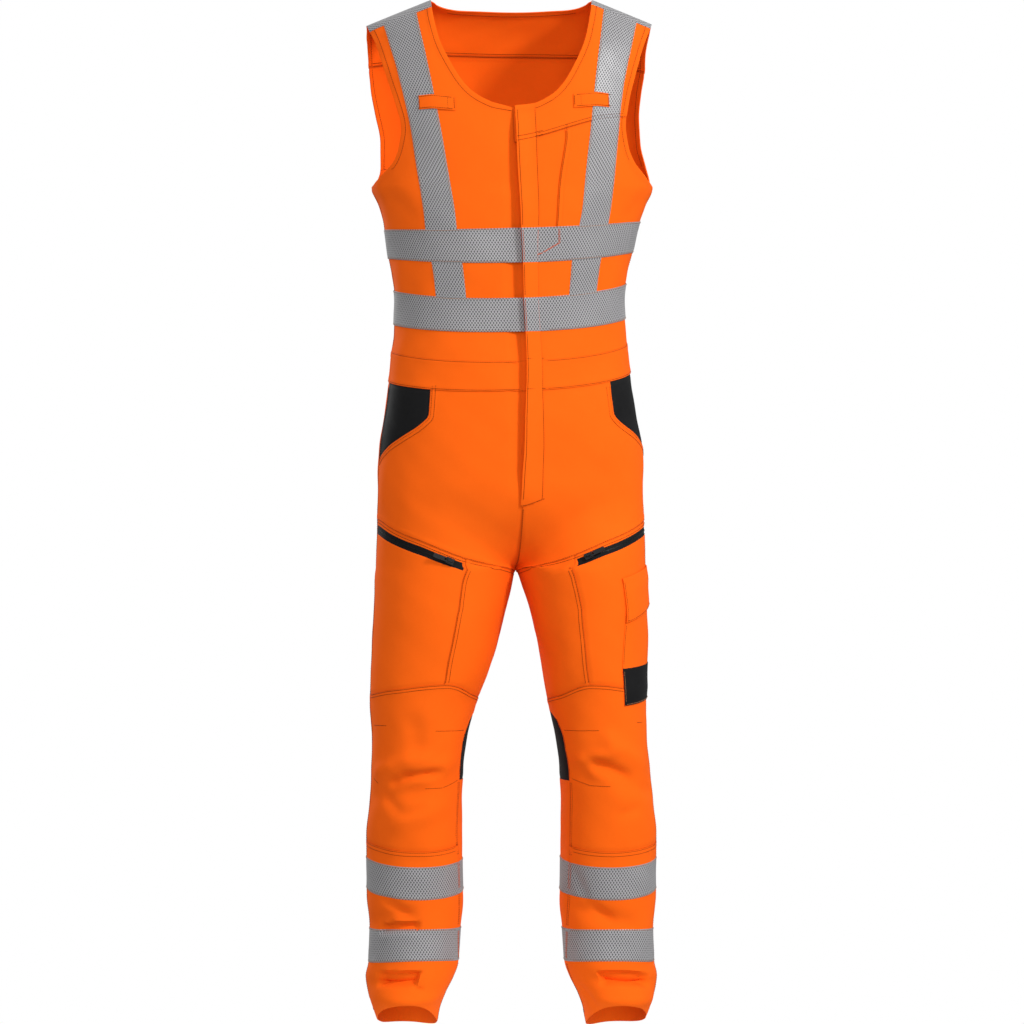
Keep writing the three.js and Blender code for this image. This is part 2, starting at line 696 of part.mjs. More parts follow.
function addLayer(name, cut, { lift = layerGap, wall = tapeWall, material = materials.tape } = {}) {
  addMesh(name, wallGeometry(clothGrid(cut), cut.side, lift, lift + wall), material);
}

// Steps that pieces lying on each other share.
const waistToLowerTape = [waistUpper, 2, lowerTapeBottom];
const lowerTapeSteps = [lowerTapeBottom, 2, lowerTapeTop];
const betweenTapes = [lowerTapeTop, 2, upperTapeBottom];
const upperTapeSteps = [upperTapeBottom, 2, upperTapeTop];
const toFrontYoke = [upperTapeTop, 2, armpitLevel, 2, armCurveLevel, 2, frontYokeSeam];
const toShoulder = [frontYokeSeam, 2, neckLevel, 1, ...neckCurveLevels.flatMap((level) => [level, 1])];
toShoulder.splice(-1, 1, 3, shoulderTop);
const toBackYoke = [upperTapeTop, 2, armpitLevel, 2, armCurveLevel, 4, backYokeSeam];

function joined(...spans) {
  return spans.reduce((marks, span) => [...marks, ...span.slice(1)]);
}

const bodiceSteps = joined(waistToLowerTape, lowerTapeSteps, betweenTapes, upperTapeSteps);
const wholeFront = joined(bodiceSteps, toFrontYoke, toShoulder);

const frontLines = {
  right: [openingEdge, 3, braceInner, 2, braceOuter, 3, frontSide.right],
  left: [openingEdge, 1, placketStitch, 2, braceInner, 2, braceOuter, 3, frontSide.left],
};
const yokeLines = [openingEdge, 3, braceInner, 2, braceOuter, 3, frontSide.left];
const backLines = [
  backSide, 3, onBack(braceOuter), 2, onBack(braceInner), 3, backCentre,
  3, onFarBack(braceInner), 2, onFarBack(braceOuter), 3, farBackSide,
];

// ---------------------------------------------------------------- bodice
addPanel('front_bodice_right', { side: -1, lines: frontLines.right, levels: wholeFront });
addPanel('front_bodice_left', { side: 1, lines: frontLines.left, levels: joined(bodiceSteps, toFrontYoke) });
addPanel('front_yoke_left', { side: 1, lines: yokeLines, levels: toShoulder });
addPanel('back_bodice', { side: 1, lines: backLines, levels: joined(bodiceSteps, toBackYoke), guess: 1 });

const backYokeLines = [
  backSide, 3, onBack(braceOuter), 2, onBack(braceInner), 1, onBack(neckEndLine), 5, backCentre,
  5, onFarBack(neckEndLine), 1, onFarBack(braceInner), 2, onFarBack(braceOuter), 3, farBackSide,
];
addPanel('back_yoke', {
  side: 1, lines: backYokeLines, levels: [backYokeSeam, 5, yokeFold, 3, backNeck], guess: 1,
});

// ---------------------------------------------------------------- waistband
const waistSteps = [waistLower, 1, waistUpper];
addPanel('waistband_front_right', { side: -1, lines: frontLines.right, levels: waistSteps });
addPanel('waistband_front_left', { side: 1, lines: frontLines.left, levels: waistSteps });
addPanel('waistband_back', { side: 1, lines: backLines, levels: waistSteps, guess: 1 });

// ---------------------------------------------------------------- hips and legs
const hipSteps = [pocketTip, 2, hipLevel, 1, flyEnd, 5, raised(thighSeam, seamGap)];
const hipFrontSteps = [waistLower, 1, pocketCorner, 2, ...hipSteps];
const thighSteps = [thighSeam, 1, zipTop, 1, zipBottom, 6, kneeSeam];
const kneeSteps = [
  kneeSeam, 1, gussetUpperTip, 1, gussetTop, 6, gussetBottom, 1, gussetLowerTip, 4, kneeBottomSeam,
];
const shinSteps = [
  kneeBottomSeam, 1, legTapes.upper.top, 2, legTapes.upper.bottom, 3,
  legTapes.lower.top, 2, legTapes.lower.bottom, 6, hemLevel,
];
const backLegSteps = [waistLower, 4, hipLevel, 1, flyEnd, 5, ...joined(thighSteps, kneeSteps, shinSteps)];
const upward = (marks) => [...marks].reverse();
const frontKneeColumns = [frontInseam, 5, thighSplit, 3, cargoFront, 4, sideSeam];
const backLegColumns = [sideSeam, 1, cargoBack, 7];
const legPlaces = [['right', -1], ['left', 1]];

for (const [name, side] of legPlaces) {
  const fromMiddle = side > 0 ? [centre, 1, placketStitch, 4] : [centre, 5];
  addPanel(`hip_front_${name}`, {
    side, lines: [...fromMiddle, thighSplit, 3, hipMiddle, 4, hipPocketEdge], levels: upward(hipFrontSteps),
  });
  addPanel(`hip_pocket_${name}`, {
    side, lines: [hipPocketEdge, 4, sideSeam], levels: upward([waistLower, 1, pocketCorner, 2, pocketTip]),
    guess: 0.4,
  }, materials.blackCloth);
  addPanel(`thigh_inner_${name}`, { side, lines: [innerSeam, 5, thighSplit], levels: upward(thighSteps) });
  addPanel(`thigh_outer_${name}`, {
    side, lines: [thighSplit, 3, cargoFront, 4, sideSeam], levels: upward(thighSteps), guess: 0.4,
  });
  addPanel(`knee_${name}`, { side, lines: frontKneeColumns, levels: upward(kneeSteps) });
  addPanel(`knee_gusset_${name}`, {
    side, lines: [gussetBehind, 2, innerSeam, 2, frontInseam], levels: [gussetBottom, 6, gussetTop], guess: 0,
  }, materials.blackCloth);
  addPanel(`shin_${name}`, { side, lines: [frontInseam, 12, sideSeam], levels: upward(shinSteps) });
  addPanel(`back_leg_${name}`, {
    side, lines: [...backLegColumns, backInseam], levels: upward(backLegSteps), guess: 0.7,
  });
  for (const [place, tape] of Object.entries(legTapes)) {
    addLayer(`leg_tape_${place}_${name}`, {
      side,
      lines: [frontInseam, 12, ...backLegColumns, wholeTurn(frontInseam)],
      levels: [tape.bottom, 2, tape.top],
      guess: 0.5,
    });
  }
}

// ---------------------------------------------------------------- tapes, flaps and pockets
const overTape = layerGap + tapeWall + layerGap;
const braceBackLines = {
  left: [onBack(braceOuter), 2, onBack(braceInner)],
  right: [onFarBack(braceInner), 2, onFarBack(braceOuter)],
};
const onFarFront = (line) => (way, turn) => 2 - line(way, 2 - turn);

// The shoulder tapes run from just behind the top of the shoulder over it and a little way down the front.
const shoulderLines = {
  left: [
    overTop(backSide, onBack(armFront.left)), 3, onBack(braceOuter), 2, onBack(braceInner),
    3, overTop(onBack(neckEndLine), onBack(neckFront)),
  ],
  right: [
    overTop(onFarBack(neckEndLine), onFarBack(neckFront)), 3, onFarBack(braceInner), 2, onFarBack(braceOuter),
    3, overTop(farBackSide, onFarBack(armFront.right)),
  ],
};
const shoulderTapeLift = 0.6;
const lastNeckLevel = toShoulder[toShoulder.length - 3];
const frontTopRows = [1 / 3, 2 / 3].map((share) => (turn) => (
  lastNeckLevel(turn) + share * (topWay - lastNeckLevel(turn))
));
const toBraceTop = toShoulder.slice(0, -2);
const backTopRows = [shoulderTapeWay, 1549.33, 1562.67].flatMap((way) => [atWay(way), 1]);

for (const [name, side] of legPlaces) {
  addLayer(`brace_tape_front_${name}`, {
    side,
    lines: [braceInner, 2, braceOuter],
    levels: joined(
      betweenTapes, upperTapeSteps, toFrontYoke, [...toBraceTop, 1, atWay(shoulderTapeFront[name])],
    ),
  });
  addLayer(`brace_tape_back_${name}`, {
    side: 1,
    lines: braceBackLines[name],
    levels: joined(betweenTapes, upperTapeSteps, toBackYoke, [
      backYokeSeam, 5, ...backTopRows, atWay(shoulderTapeBack[name]),
    ]),
    guess: 1,
  });
  addLayer(`shoulder_tape_${name}`, {
    side: 1,
    lines: shoulderLines[name],
    levels: [
      atWay(shoulderTapeBack[name]), 1, shoulderTop, 1, pastTop(frontTopRows[1]), 1, pastTop(frontTopRows[0]),
      1, pastTop(atWay(shoulderTapeFront[name])),
    ],
    guess: 1,
  }, { lift: shoulderTapeLift });
  const loopLevels = [raised(loopBottom, loopRise[name]), 1, raised(loopTop, loopRise[name])];
  addLayer(`radio_loop_${name}`, { side, lines: [loopInner, 4, loopOuter], levels: loopLevels }, {
    lift: overTape, wall: pocketWall, material: materials.cloth,
  });
}

const tapeRound = [
  placketStitch, 2, braceInner, 2, braceOuter, 3, frontSide.left, ...backLines.slice(1),
  3, onFarFront(braceOuter), 2, onFarFront(braceInner), 3, (way, turn) => 2 + placketEdge(way, turn - 2),
];
const chestTapes = { upper: upperTapeSteps, lower: lowerTapeSteps };
for (const [place, levels] of Object.entries(chestTapes)) {
  addLayer(`chest_tape_${place}`, { side: 1, lines: tapeRound, levels, guess: 1 }, { lift: overTape });
  addLayer(`placket_tape_${place}`, { side: 1, lines: [placketEdge, 1, placketStitch], levels, guess: 0 }, {
    lift: layerGap + pocketWall + layerGap,
  });
}

addLayer('placket', {
  side: 1,
  lines: [placketEdge, 1, placketStitch],
  levels: joined(
    upward([waistLower, 1, pocketCorner, 2, pocketTip, 2, hipLevel, 1, flyEnd]),
    waistSteps, bodiceSteps, toFrontYoke, [frontYokeSeam, 2, neckLevel],
  ),
  guess: 0,
}, { wall: pocketWall, material: materials.cloth });

addLayer('chest_pocket_welt', {
  side: 1,
  lines: [pocketSlit, 1, pocketSlitStitch],
  levels: [raised(upperTapeTop, weltMargin.bottom), 2, armpitLevel, 2, armCurveLevel,
    2, raised(frontYokeSeam, -weltMargin.top)],
}, { lift: 2 * layerGap, wall: pocketWall, material: materials.cloth });

const cargoColumns = [cargoFront, 4, sideSeam, 1, cargoBack];
const cargoLift = 0.8;
const flapOverlap = 2;
const patchInset = 1;
const cargoCut = (levels) => ({ side: 1, lines: cargoColumns, levels, guess: 0.4 });
addLayer('cargo_pocket', cargoCut([cargoBottom, 2, cargoPatchTop, 4, cargoFlapTop]), {
  lift: cargoLift, wall: clothWall, material: materials.cloth,
});
addLayer('cargo_flap', cargoCut([cargoFlapBottom, 2, raised(cargoFlapTop, flapOverlap)]), {
  lift: cargoLift + clothWall + cargoLift, wall: clothWall, material: materials.cloth,
});
addLayer('cargo_patch', cargoCut([raised(cargoBottom, patchInset), 2, cargoPatchTop]), {
  lift: cargoLift + clothWall + layerGap, wall: pocketWall, material: materials.blackCloth,
});

// ---------------------------------------------------------------- thigh zips
const sliderTurn = { left: 0.254, right: 0.232 };
const aheadTurn = 0.03;
const slider = { length: 12, width: 9, thick: 2.4 };
const arch = { length: 8, width: 2, high: 3.8, leg: 1.2, top: 1.2, corner: 1 };
const pull = { length: 24, width: 6.4, thick: 1.2, hole: 5.9, holeWidth: 3.2, tip: 2.4 };
const hingeAlong = 1.9;
const hingeUp = slider.thick + (arch.high - arch.top) / 2;

function solidFrom(geometry) {
  const shape = geometry.clone();
  shape.deleteAttribute('normal');
  shape.deleteAttribute('uv');
  const merged = mergeVertices(shape, 1e-4);
  return new wasm.Manifold(new wasm.Mesh({
    numProp: 3,
    vertProperties: new Float32Array(merged.attributes.position.array),
    triVerts: new Uint32Array(merged.index.array),
  }));
}

function geometryFrom(solid) {
  const mesh = solid.getMesh();
  const geometry = new THREE.BufferGeometry();
  geometry.setAttribute('position', new THREE.BufferAttribute(mesh.vertProperties, 3));
  geometry.setIndex(new THREE.BufferAttribute(mesh.triVerts, 1));
  return geometry.toNonIndexed();
}

const plane = (corners) => corners.map(([x, y]) => new THREE.Vector2(x, y));

// The slider lies along X with its arch over the middle; Z points away from the cloth.
function sliderGeometry() {
  const body = new THREE.BoxGeometry(slider.length, slider.width, slider.thick);
  body.translate(0, 0, slider.thick / 2);
  const half = arch.length / 2;
  const base = slider.thick / 2;
  const top = slider.thick + arch.high;
  const corner = arch.corner;
  const profile = new THREE.Shape(plane([
    [-half, base], [half, base], [half, top - corner], [half - corner, top], [corner - half, top],
    [-half, top - corner],
  ]));
  const opening = half - arch.leg;
  profile.holes.push(new THREE.Path(plane([
    [-opening, slider.thick], [opening, slider.thick], [opening, top - arch.top], [-opening, top - arch.top],
  ])));
  const bow = new THREE.ExtrudeGeometry(profile, { depth: arch.width, bevelEnabled: false });
  bow.translate(0, 0, -arch.width / 2);
  bow.rotateX(Math.PI / 2);
  return geometryFrom(solidFrom(body).add(solidFrom(bow)));
}

// The pull's crossbar is on its own X = 0 line and its tab runs along +X.
function pullGeometry() {
  const half = pull.width / 2;
  const bar = pull.thick / 2;
  const outline = new THREE.Shape();
  outline.moveTo(-bar, -half);
  outline.lineTo(pull.length - pull.tip, -half);
  outline.quadraticCurveTo(pull.length, -half, pull.length, 0);
  outline.quadraticCurveTo(pull.length, half, pull.length - pull.tip, half);
  outline.lineTo(-bar, half);
  outline.closePath();
  const aside = pull.holeWidth / 2;
  const holeEnd = bar + pull.hole;
  const hole = plane([[bar, -aside], [holeEnd, -aside], [holeEnd, aside], [bar, aside]]);
  outline.holes.push(new THREE.Path(hole));
  const slab = { depth: pull.thick, bevelEnabled: false, curveSegments: 4 };
  const tab = new THREE.ExtrudeGeometry(outline, slab);
  tab.translate(0, 0, -bar);
  return tab;
}

for (const [name, side] of legPlaces) {
  addLayer(`thigh_zip_${name}`, {
    side, lines: [thighSplit, 3, cargoFront, 4, sideSeam], levels: [zipBottom, 1, zipTop], guess: 0.4,
  }, { material: materials.blackCloth });

  const level = raised(thighSeam, -(zipDrop.top + zipDrop.bottom) / 2);
  const turn = sliderTurn[name];
  const here = clothAt(side, turn, level(turn));
  const ahead = clothAt(side, turn + aheadTurn, level(turn + aheadTurn));
  const out = here.outward;
  const along = ahead.point.clone().sub(here.point).projectOnPlane(out).normalize();
  const aside = out.clone().cross(along);
  const frame = new THREE.Matrix4().makeBasis(along, aside, out);
  const sliderMesh = addMesh(`zip_slider_${name}`, sliderGeometry(), materials.hardware);
  sliderMesh.position.copy(here.point).addScaledVector(out, sliderLift);
  sliderMesh.quaternion.setFromRotationMatrix(frame);
  const pullMesh = addMesh(`zip_pull_${name}`, pullGeometry(), materials.hardware);
  pullMesh.position.copy(sliderMesh.position);
  pullMesh.position.addScaledVector(along, hingeAlong).addScaledVector(out, hingeUp);
  pullMesh.quaternion.copy(sliderMesh.quaternion);
}

export default coverall;
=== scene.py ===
import json
import math

import bpy
import numpy as np
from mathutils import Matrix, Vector


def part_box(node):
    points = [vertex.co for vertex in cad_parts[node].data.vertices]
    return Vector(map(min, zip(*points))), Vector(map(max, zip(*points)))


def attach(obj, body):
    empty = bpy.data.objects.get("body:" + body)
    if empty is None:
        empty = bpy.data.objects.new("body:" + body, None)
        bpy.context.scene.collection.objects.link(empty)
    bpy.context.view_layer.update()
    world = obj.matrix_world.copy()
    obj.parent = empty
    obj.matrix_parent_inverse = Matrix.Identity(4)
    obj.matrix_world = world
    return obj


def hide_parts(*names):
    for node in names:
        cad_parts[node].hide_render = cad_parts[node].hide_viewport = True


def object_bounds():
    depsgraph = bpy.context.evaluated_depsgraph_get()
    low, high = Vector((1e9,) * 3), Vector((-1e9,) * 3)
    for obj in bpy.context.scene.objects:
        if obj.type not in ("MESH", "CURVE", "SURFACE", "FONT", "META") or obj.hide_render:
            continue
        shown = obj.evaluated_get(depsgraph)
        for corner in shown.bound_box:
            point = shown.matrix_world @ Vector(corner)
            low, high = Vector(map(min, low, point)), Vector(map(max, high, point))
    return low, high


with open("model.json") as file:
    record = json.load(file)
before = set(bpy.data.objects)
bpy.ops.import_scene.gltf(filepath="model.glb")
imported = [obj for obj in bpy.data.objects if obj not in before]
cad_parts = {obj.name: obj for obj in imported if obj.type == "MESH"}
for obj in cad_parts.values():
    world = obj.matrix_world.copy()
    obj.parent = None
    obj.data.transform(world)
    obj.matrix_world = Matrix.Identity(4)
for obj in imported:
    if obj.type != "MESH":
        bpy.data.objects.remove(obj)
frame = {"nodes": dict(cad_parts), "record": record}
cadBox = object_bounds()

# Cloth is worked out in millimetres above the hem line, as on a pattern, and goes into the frame's metres last.
# A place on it is a side (1 the wearer's left, -1 the right), a turn (0 the front's middle, 0.5 the outer side,
# 1 the back's middle) and a way: the height as far as the armpit, then on over the shoulder to topWay.
neckPointHeight = 1514
shoulderEndHeight = 1479
neckPointAcross = 119
shoulderEndAcross = 207
armpitHeight = 1236
hipHeight = 800
crotchHeight = 676
torsoRoundness = 0.86
legRoundness = 0.95
shoulderRoundness = 2.4
shoulderWay = 340
ridgeDepth = 10
topWay = armpitHeight + shoulderWay
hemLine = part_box("front_bodice_right")[1][2] - neckPointHeight / 1000


def toFrame(points):
    return points / 1000 + np.array([0, 0, hemLine])


def smooth(value, low, high):
    share = np.clip((value - low) / (high - low), 0, 1)
    return share * share * (3 - 2 * share)


def curveThrough(places, values):  # a smooth curve that never overshoots its points
    places, values = np.array(places, float), np.array(values, float)
    rise = np.diff(values) / np.diff(places)
    both = rise[:-1] * rise[1:]
    middle = np.where(both > 0, 2 * both / np.where(both > 0, rise[:-1] + rise[1:], 1), 0)
    slopes = np.concatenate([rise[:1], middle, rise[-1:]])

    def at(place):
        place = np.clip(place, places[0], places[-1])
        i = np.clip(np.searchsorted(places, place, side="right") - 1, 0, len(places) - 2)
        step = places[i + 1] - places[i]
        u = (place - places[i]) / step
        start = (1 + 2 * u) * (1 - u) ** 2 * values[i] + u * (1 - u) ** 2 * step * slopes[i]
        return start + u**2 * (3 - 2 * u) * values[i + 1] + u**2 * (u - 1) * step * slopes[i + 1]

    return at


def curvePairs(*pairs):
    return curveThrough([pair[0] for pair in pairs], [pair[1] for pair in pairs])


def ringTable(names, rows):
    columns = list(zip(*rows))
    return {name: curveThrough(columns[0], column) for name, column in zip(names.split(), columns[1:])}


# Rings of the trunk by height: half width, reach to front and back, twist in degrees, and the ring's middle.
trunkRing = ringTable("half front back twist x y", [
    (600, 198, 96, 118, 9, 0, 4),
    (709, 198, 106, 128, 9, -1, 4),
    (756, 198, 112, 132, 9, -1, 4),
    (804, 198, 116, 130, 9, -1, 4),
    (851, 195, 119, 124, 9, 0, 3),
    (898, 188, 120, 112, 9, -1, 2),
    (945, 181, 119, 100, 9, -2, 2),
    (985, 177, 117, 94, 8.5, -2, 2),
    (1017, 172, 116, 92, 7.5, -2, 2),
    (1064, 170, 117, 94, 6.5, -3, 2),
    (1111, 175, 120, 99, 6, -3, 2),
    (1159, 184, 123, 105, 5, -1, 3),
    (1182, 189, 124, 108, 5, 0, 3),
    (1210, 198, 124, 110, 4.5, 1, 4),
    (1236, 208, 123, 111, 4, 1, 5),
    (1262, 208, 123, 111, 3.5, 1, 5),
    (1300, 213, 123, 111, 3, 1, 5),
    (1370, 217, 123, 111, 2, 0, 5),
    (1511, 218, 123, 111, 0, 0, 5),
])
# Rings of a leg by height: how far its outer and inner sides are from the middle plane, how far the outer
# side leans and the middle lies to the wearer's left, the reach along Y, and the twist.
legRing = ringTable("outer inner lean middle front back twist", [
    (-20, 190, 112, 0, 0, -58, 84, 4),
    (4, 198, 110, 0, 0, -62, 82, 4),
    (22, 205, 107, 0, 0, -70, 80, 4),
    (46, 212, 98, 0, 0, -78, 78, 5),
    (70, 215, 86, 0, 0, -79, 77, 5),
    (93, 210, 78, 0, 0, -74, 78, 5),
    (141, 210, 75, 0, 0, -71, 82, 5),
    (188, 214, 72, 0, 0, -72, 86, 6),
    (235, 214, 72, 0, 0, -74, 88, 6),
    (283, 214, 73, 0, 0, -78, 84, 6),
    (330, 210, 73, 0, 0, -82, 77, 7),
    (377, 205, 71, -1, 0, -87, 72, 7),
    (425, 203, 64, -3, 0, -90, 76, 7),
    (472, 204, 54, -5, 1, -93, 84, 7.5),
    (520, 203, 40, -5, 6, -97, 92, 7.5),
    (567, 202, 28.5, -3.5, 9.3, -100, 100, 8),
    (614, 201, 17, -3, 9.5, -102, 108, 8),
    (662, 200, 4.5, -1.5, 7, -102, 116, 8.5),
    (676, 199, 0, -1, 6, -102, 118, 9),
    (800, 198, 0, 0, 4, -108, 128, 9),
])

# Soft ridges (+) and troughs (-): side, turn and way at both ends, width and depth in mm.
creases = {
    "largeFolds": [
        (-1, 0.20, 352, 0.46, 338, 13, -5),
        (-1, 0.10, 392, 0.34, 372, 14, 4),
        (-1, 0.14, 330, 0.36, 296, 16, 4),
        (1, 0.10, 378, 0.40, 350, 13, -4),
        (1, 0.22, 424, 0.42, 382, 15, 4),
        (-1, 0.24, 176, 0.46, 150, 11, -5),
        (1, 0.08, 182, 0.34, 150, 12, -5),
        (-1, 0.22, 66, 0.46, 66, 11, -7),
        (-1, 0.10, 44, 0.40, 40, 9, 4),
        (1, 0.10, 74, 0.46, 66, 12, -7),
        (1, 0.12, 44, 0.44, 38, 9, 4),
        (-1, 0.56, 360, 0.92, 380, 14, -5),
        (1, 0.58, 372, 0.94, 366, 14, -5),
        (-1, 0.60, 60, 0.90, 70, 12, -5),
        (1, 0.60, 70, 0.90, 58, 12, -5),
    ],
    "knees": [
        (-1, 0.37, 356, 0.28, 374, 8, -7),
        (-1, 0.31, 370, 0.18, 377, 7, -9),
        (-1, 0.45, 372, 0.33, 391, 11, 5),
        (-1, 0.34, 390, 0.22, 400, 10, 4),
        (-1, 0.295, 460, 0.262, 398, 13, -4),
        (-1, 0.39, 342, 0.30, 314, 8, -3.4),
        (-1, 0.31, 312, 0.23, 326, 7, -2.6),
        (1, 0.17, 396, 0.33, 367, 9, -9),
        (1, 0.11, 391, 0.27, 404, 9, 4.5),
        (1, 0.16, 379, 0.26, 358, 9, 3.4),
        (1, 0.245, 440, 0.268, 400, 10, 2.8),
        (1, 0.35, 324, 0.255, 313, 8, -2.4),
        (1, 0.36, 352, 0.44, 340, 9, -2.2),
    ],
    "shins": [
        (-1, 0.38, 193, 0.25, 158, 8, -4.6),
        (-1, 0.40, 147, 0.25, 151, 5, -3.4),
        (-1, 0.34, 238, 0.20, 208, 14, 1.4),
        (1, 0.10, 234, 0.17, 184, 8, -4.6),
        (1, 0.165, 186, 0.26, 152, 8, -4.8),
        (1, 0.30, 228, 0.42, 196, 13, 1.4),
    ],
    "hems": [
        (-1, 0.24, 60, 0.20, 57, 4, -3),
        (-1, 0.40, 96, 0.48, 84, 9, 2),
        (1, 0.06, 66, 0.15, 30, 8, -2.5),
    ],
    "trunk": [
        (-1, 0.37, 1222, 0.26, 1178, 14, -2),
        (1, 0.38, 1216, 0.28, 1182, 14, -1.4),
        (-1, 0.02, 862, 0.10, 820, 18, -1.4),
        (1, 0.10, 830, 0.22, 806, 20, -1.2),
        (-1, 0.10, 742, 0.28, 778, 22, -1.2),
        (1, 0.10, 738, 0.30, 782, 22, -1.4),
    ],
    "back": [
        (1, 0.62, 1212, 0.74, 1180, 18, -2),
        (1, 1.38, 1214, 1.27, 1176, 18, -2.2),
        (1, 0.72, 1012, 0.92, 990, 14, -2),
        (1, 1.28, 1004, 1.08, 994, 13, -1.8),
        (1, 0.86, 1330, 1.06, 1318, 26, -1.4),
        (1, 0.64, 742, 0.90, 706, 15, -3),
        (-1, 0.62, 736, 0.92, 702, 15, -3),
        (1, 0.70, 640, 0.94, 660, 13, -2.2),
        (-1, 0.68, 632, 0.92, 662, 13, -2.4),
        (1, 0.60, 404, 0.90, 414, 10, 2),
        (-1, 0.60, 398, 0.90, 420, 10, 2),
        (1, 0.62, 330, 0.86, 316, 12, -2),
        (-1, 0.58, 322, 0.84, 312, 12, -2.2),
        (1, 0.58, 190, 0.84, 160, 11, -2.2),
        (-1, 0.60, 196, 0.86, 152, 11, -2.4),
    ],
}
legTurnLength, trunkTurnLength = 440, 540  # how long one turn is, for the creases
sharedFrom = crotchHeight + 40  # a crease that reaches above this may cross to the other side
# Low on the legs the cloth is pushed in under a sharp brow: side, turn and height at both ends, the brow's
# rise in its middle, how tall the hollow is and its depth.
brows = [
    (-1, 0.230, 86, 0.40, 83.5, 1, 15, 14),
    (1, 0.185, 85, 0.395, 78, 5, 14, 13),
    (-1, 0.246, 158, 0.40, 150, 2, 8, 8),
]


def signedPower(value, power):
    return np.sign(value) * np.abs(value) ** power


def ridgeHeight(across):
    share = (np.abs(across) - neckPointAcross) / (shoulderEndAcross - neckPointAcross)
    return neckPointHeight - (neckPointHeight - shoulderEndHeight) * np.clip(share, 0, 1.2)


def climbed(way):  # past the top of the shoulder the way runs down again on the other face
    return np.minimum(way, 2 * topWay - way)


def trunkPoint(side, turn, way):
    up = climbed(way)
    low = np.minimum(up, armpitHeight)
    angle = np.pi * turn
    across = side * trunkRing["half"](up) * signedPower(np.sin(angle), torsoRoundness)
    facing = signedPower(np.cos(angle), torsoRoundness) * np.where(up < way, -1, 1)
    reach = np.where(facing > 0, trunkRing["front"](low), trunkRing["back"](low))
    climb = np.pi / 2 * np.clip((up - armpitHeight) / shoulderWay, 0, 1)
    rise = np.sin(climb) ** (2 / shoulderRoundness)
    spread = np.maximum(np.cos(climb), 0) ** (2 / shoulderRoundness)
    middle = trunkRing["y"](low)
    ridge = ridgeDepth - middle
    above = up > armpitHeight
    height = np.where(above, armpitHeight + rise * (ridgeHeight(across) - armpitHeight), up)
    deep = np.where(above, ridge - (reach * facing + ridge) * spread, -reach * facing)
    twist = np.radians(trunkRing["twist"](height))
    x = trunkRing["x"](height) + across * np.cos(twist) - deep * np.sin(twist)
    y = middle + deep * np.cos(twist) + across * np.sin(twist)
    return np.stack([x, y, height], -1)


def legPoint(side, turn, way):
    outer = side * legRing["outer"](way) + legRing["lean"](way)
    inner = side * legRing["inner"](way) + legRing["middle"](way)
    front, back = legRing["front"](way), legRing["back"](way)
    settle = np.clip((crotchHeight - way) / 60, 0, 1)
    angle = 2 * np.pi * turn + side * settle * np.radians(legRing["twist"](way))
    x = (outer + inner) / 2 - (outer - inner) / 2 * signedPower(np.cos(angle), legRoundness)
    y = (front + back) / 2 - (back - front) / 2 * signedPower(np.sin(angle), legRoundness)
    return np.stack([x, y, way], -1)


def bodyPoint(side, turn, way):
    turn, way = np.broadcast_arrays(np.asarray(turn, float), np.asarray(way, float))
    trunk = trunkPoint(side, turn, way)
    if way.min() >= hipHeight:
        return trunk
    leg = legPoint(side, turn, np.minimum(way, hipHeight))
    rise = np.clip((way - crotchHeight) / (hipHeight - crotchHeight), 0, 1)
    nearMiddle = np.abs(np.cos(np.pi * turn)) ** 4
    gentle = rise * rise * (3 - 2 * rise)
    quick = np.sqrt(1 - (1 - rise) ** 2)
    share = (gentle + (quick - gentle) * nearMiddle)[..., None]
    return leg * (1 - share) + trunk * share


def wholeRound(side, turn, way):  # the turn counted on past the back, so that every name of a place agrees
    turn = np.where((way < crotchHeight) & (turn > 1), turn - 1, turn)
    whole = turn if side > 0 else 2 - turn
    return np.where(way > topWay, np.where(turn < 1, 1 - turn, 3 - turn), whole)


def creaseDepth(side, turn, way):
    turnLength = legTurnLength + (trunkTurnLength - legTurnLength) * smooth(way, 640, 820)
    place = wholeRound(side, turn, way)
    total = np.zeros(np.shape(turn))
    for group in creases.values():
        for creaseSide, turn0, way0, turn1, way1, wide, deep in group:
            if creaseSide != side and max(way0, way1) < sharedFrom:
                continue
            if creaseSide < 0:
                turn0, turn1 = 2 - turn0, 2 - turn1
            alongX, alongY = (turn1 - turn0) * turnLength, way1 - way0
            fromX, fromY = (place - turn0) * turnLength, way - way0
            length = np.hypot(alongX, alongY)
            share = (fromX * alongX + fromY * alongY) / length**2
            aside = (fromX * alongY - fromY * alongX) / length
            fade = smooth(share, -0.15, 0.35) * (1 - smooth(share, 0.65, 1.15))  # it runs out past both ends
            total += deep * fade * np.exp(-((aside / wide) ** 2))
    for browSide, turn0, way0, turn1, way1, rise, tall, deep in brows:
        if browSide == side:
            share = (turn - turn0) / (turn1 - turn0)
            below = way0 + (way1 - way0) * share + rise * 4 * share * (1 - share) - way
            inside = smooth(share, -0.01, 0.05) * (1 - smooth(share, 0.86, 1.05))
            # deep at once, then a little more
            hollow = 0.7 * smooth(below, -1, 1.6) + 0.3 * smooth(below, 1, tall)
            total -= deep * inside * hollow * (1 - smooth(below, tall - 1, tall + 12))
    return total


# A faint unevenness all over: waves to a turn, wave length up in mm, height in mm and phase.
ripples = [(3, 150, 0.5, 0.4), (-4, 96, 0.34, 1.9), (7, -130, 0.26, 3.1), (9, 47, 0.14, 4.4)]


def rippleDepth(side, turn, way):
    place, up = wholeRound(side, turn, way), climbed(way)
    total = sum(deep * np.sin(2 * np.pi * (place * waves + up / tall) + phase)
                for waves, tall, deep, phase in ripples)
    return total * (1 - smooth(up, 1500, 1560))


turnProbe, wayProbe = 0.002, 0.5


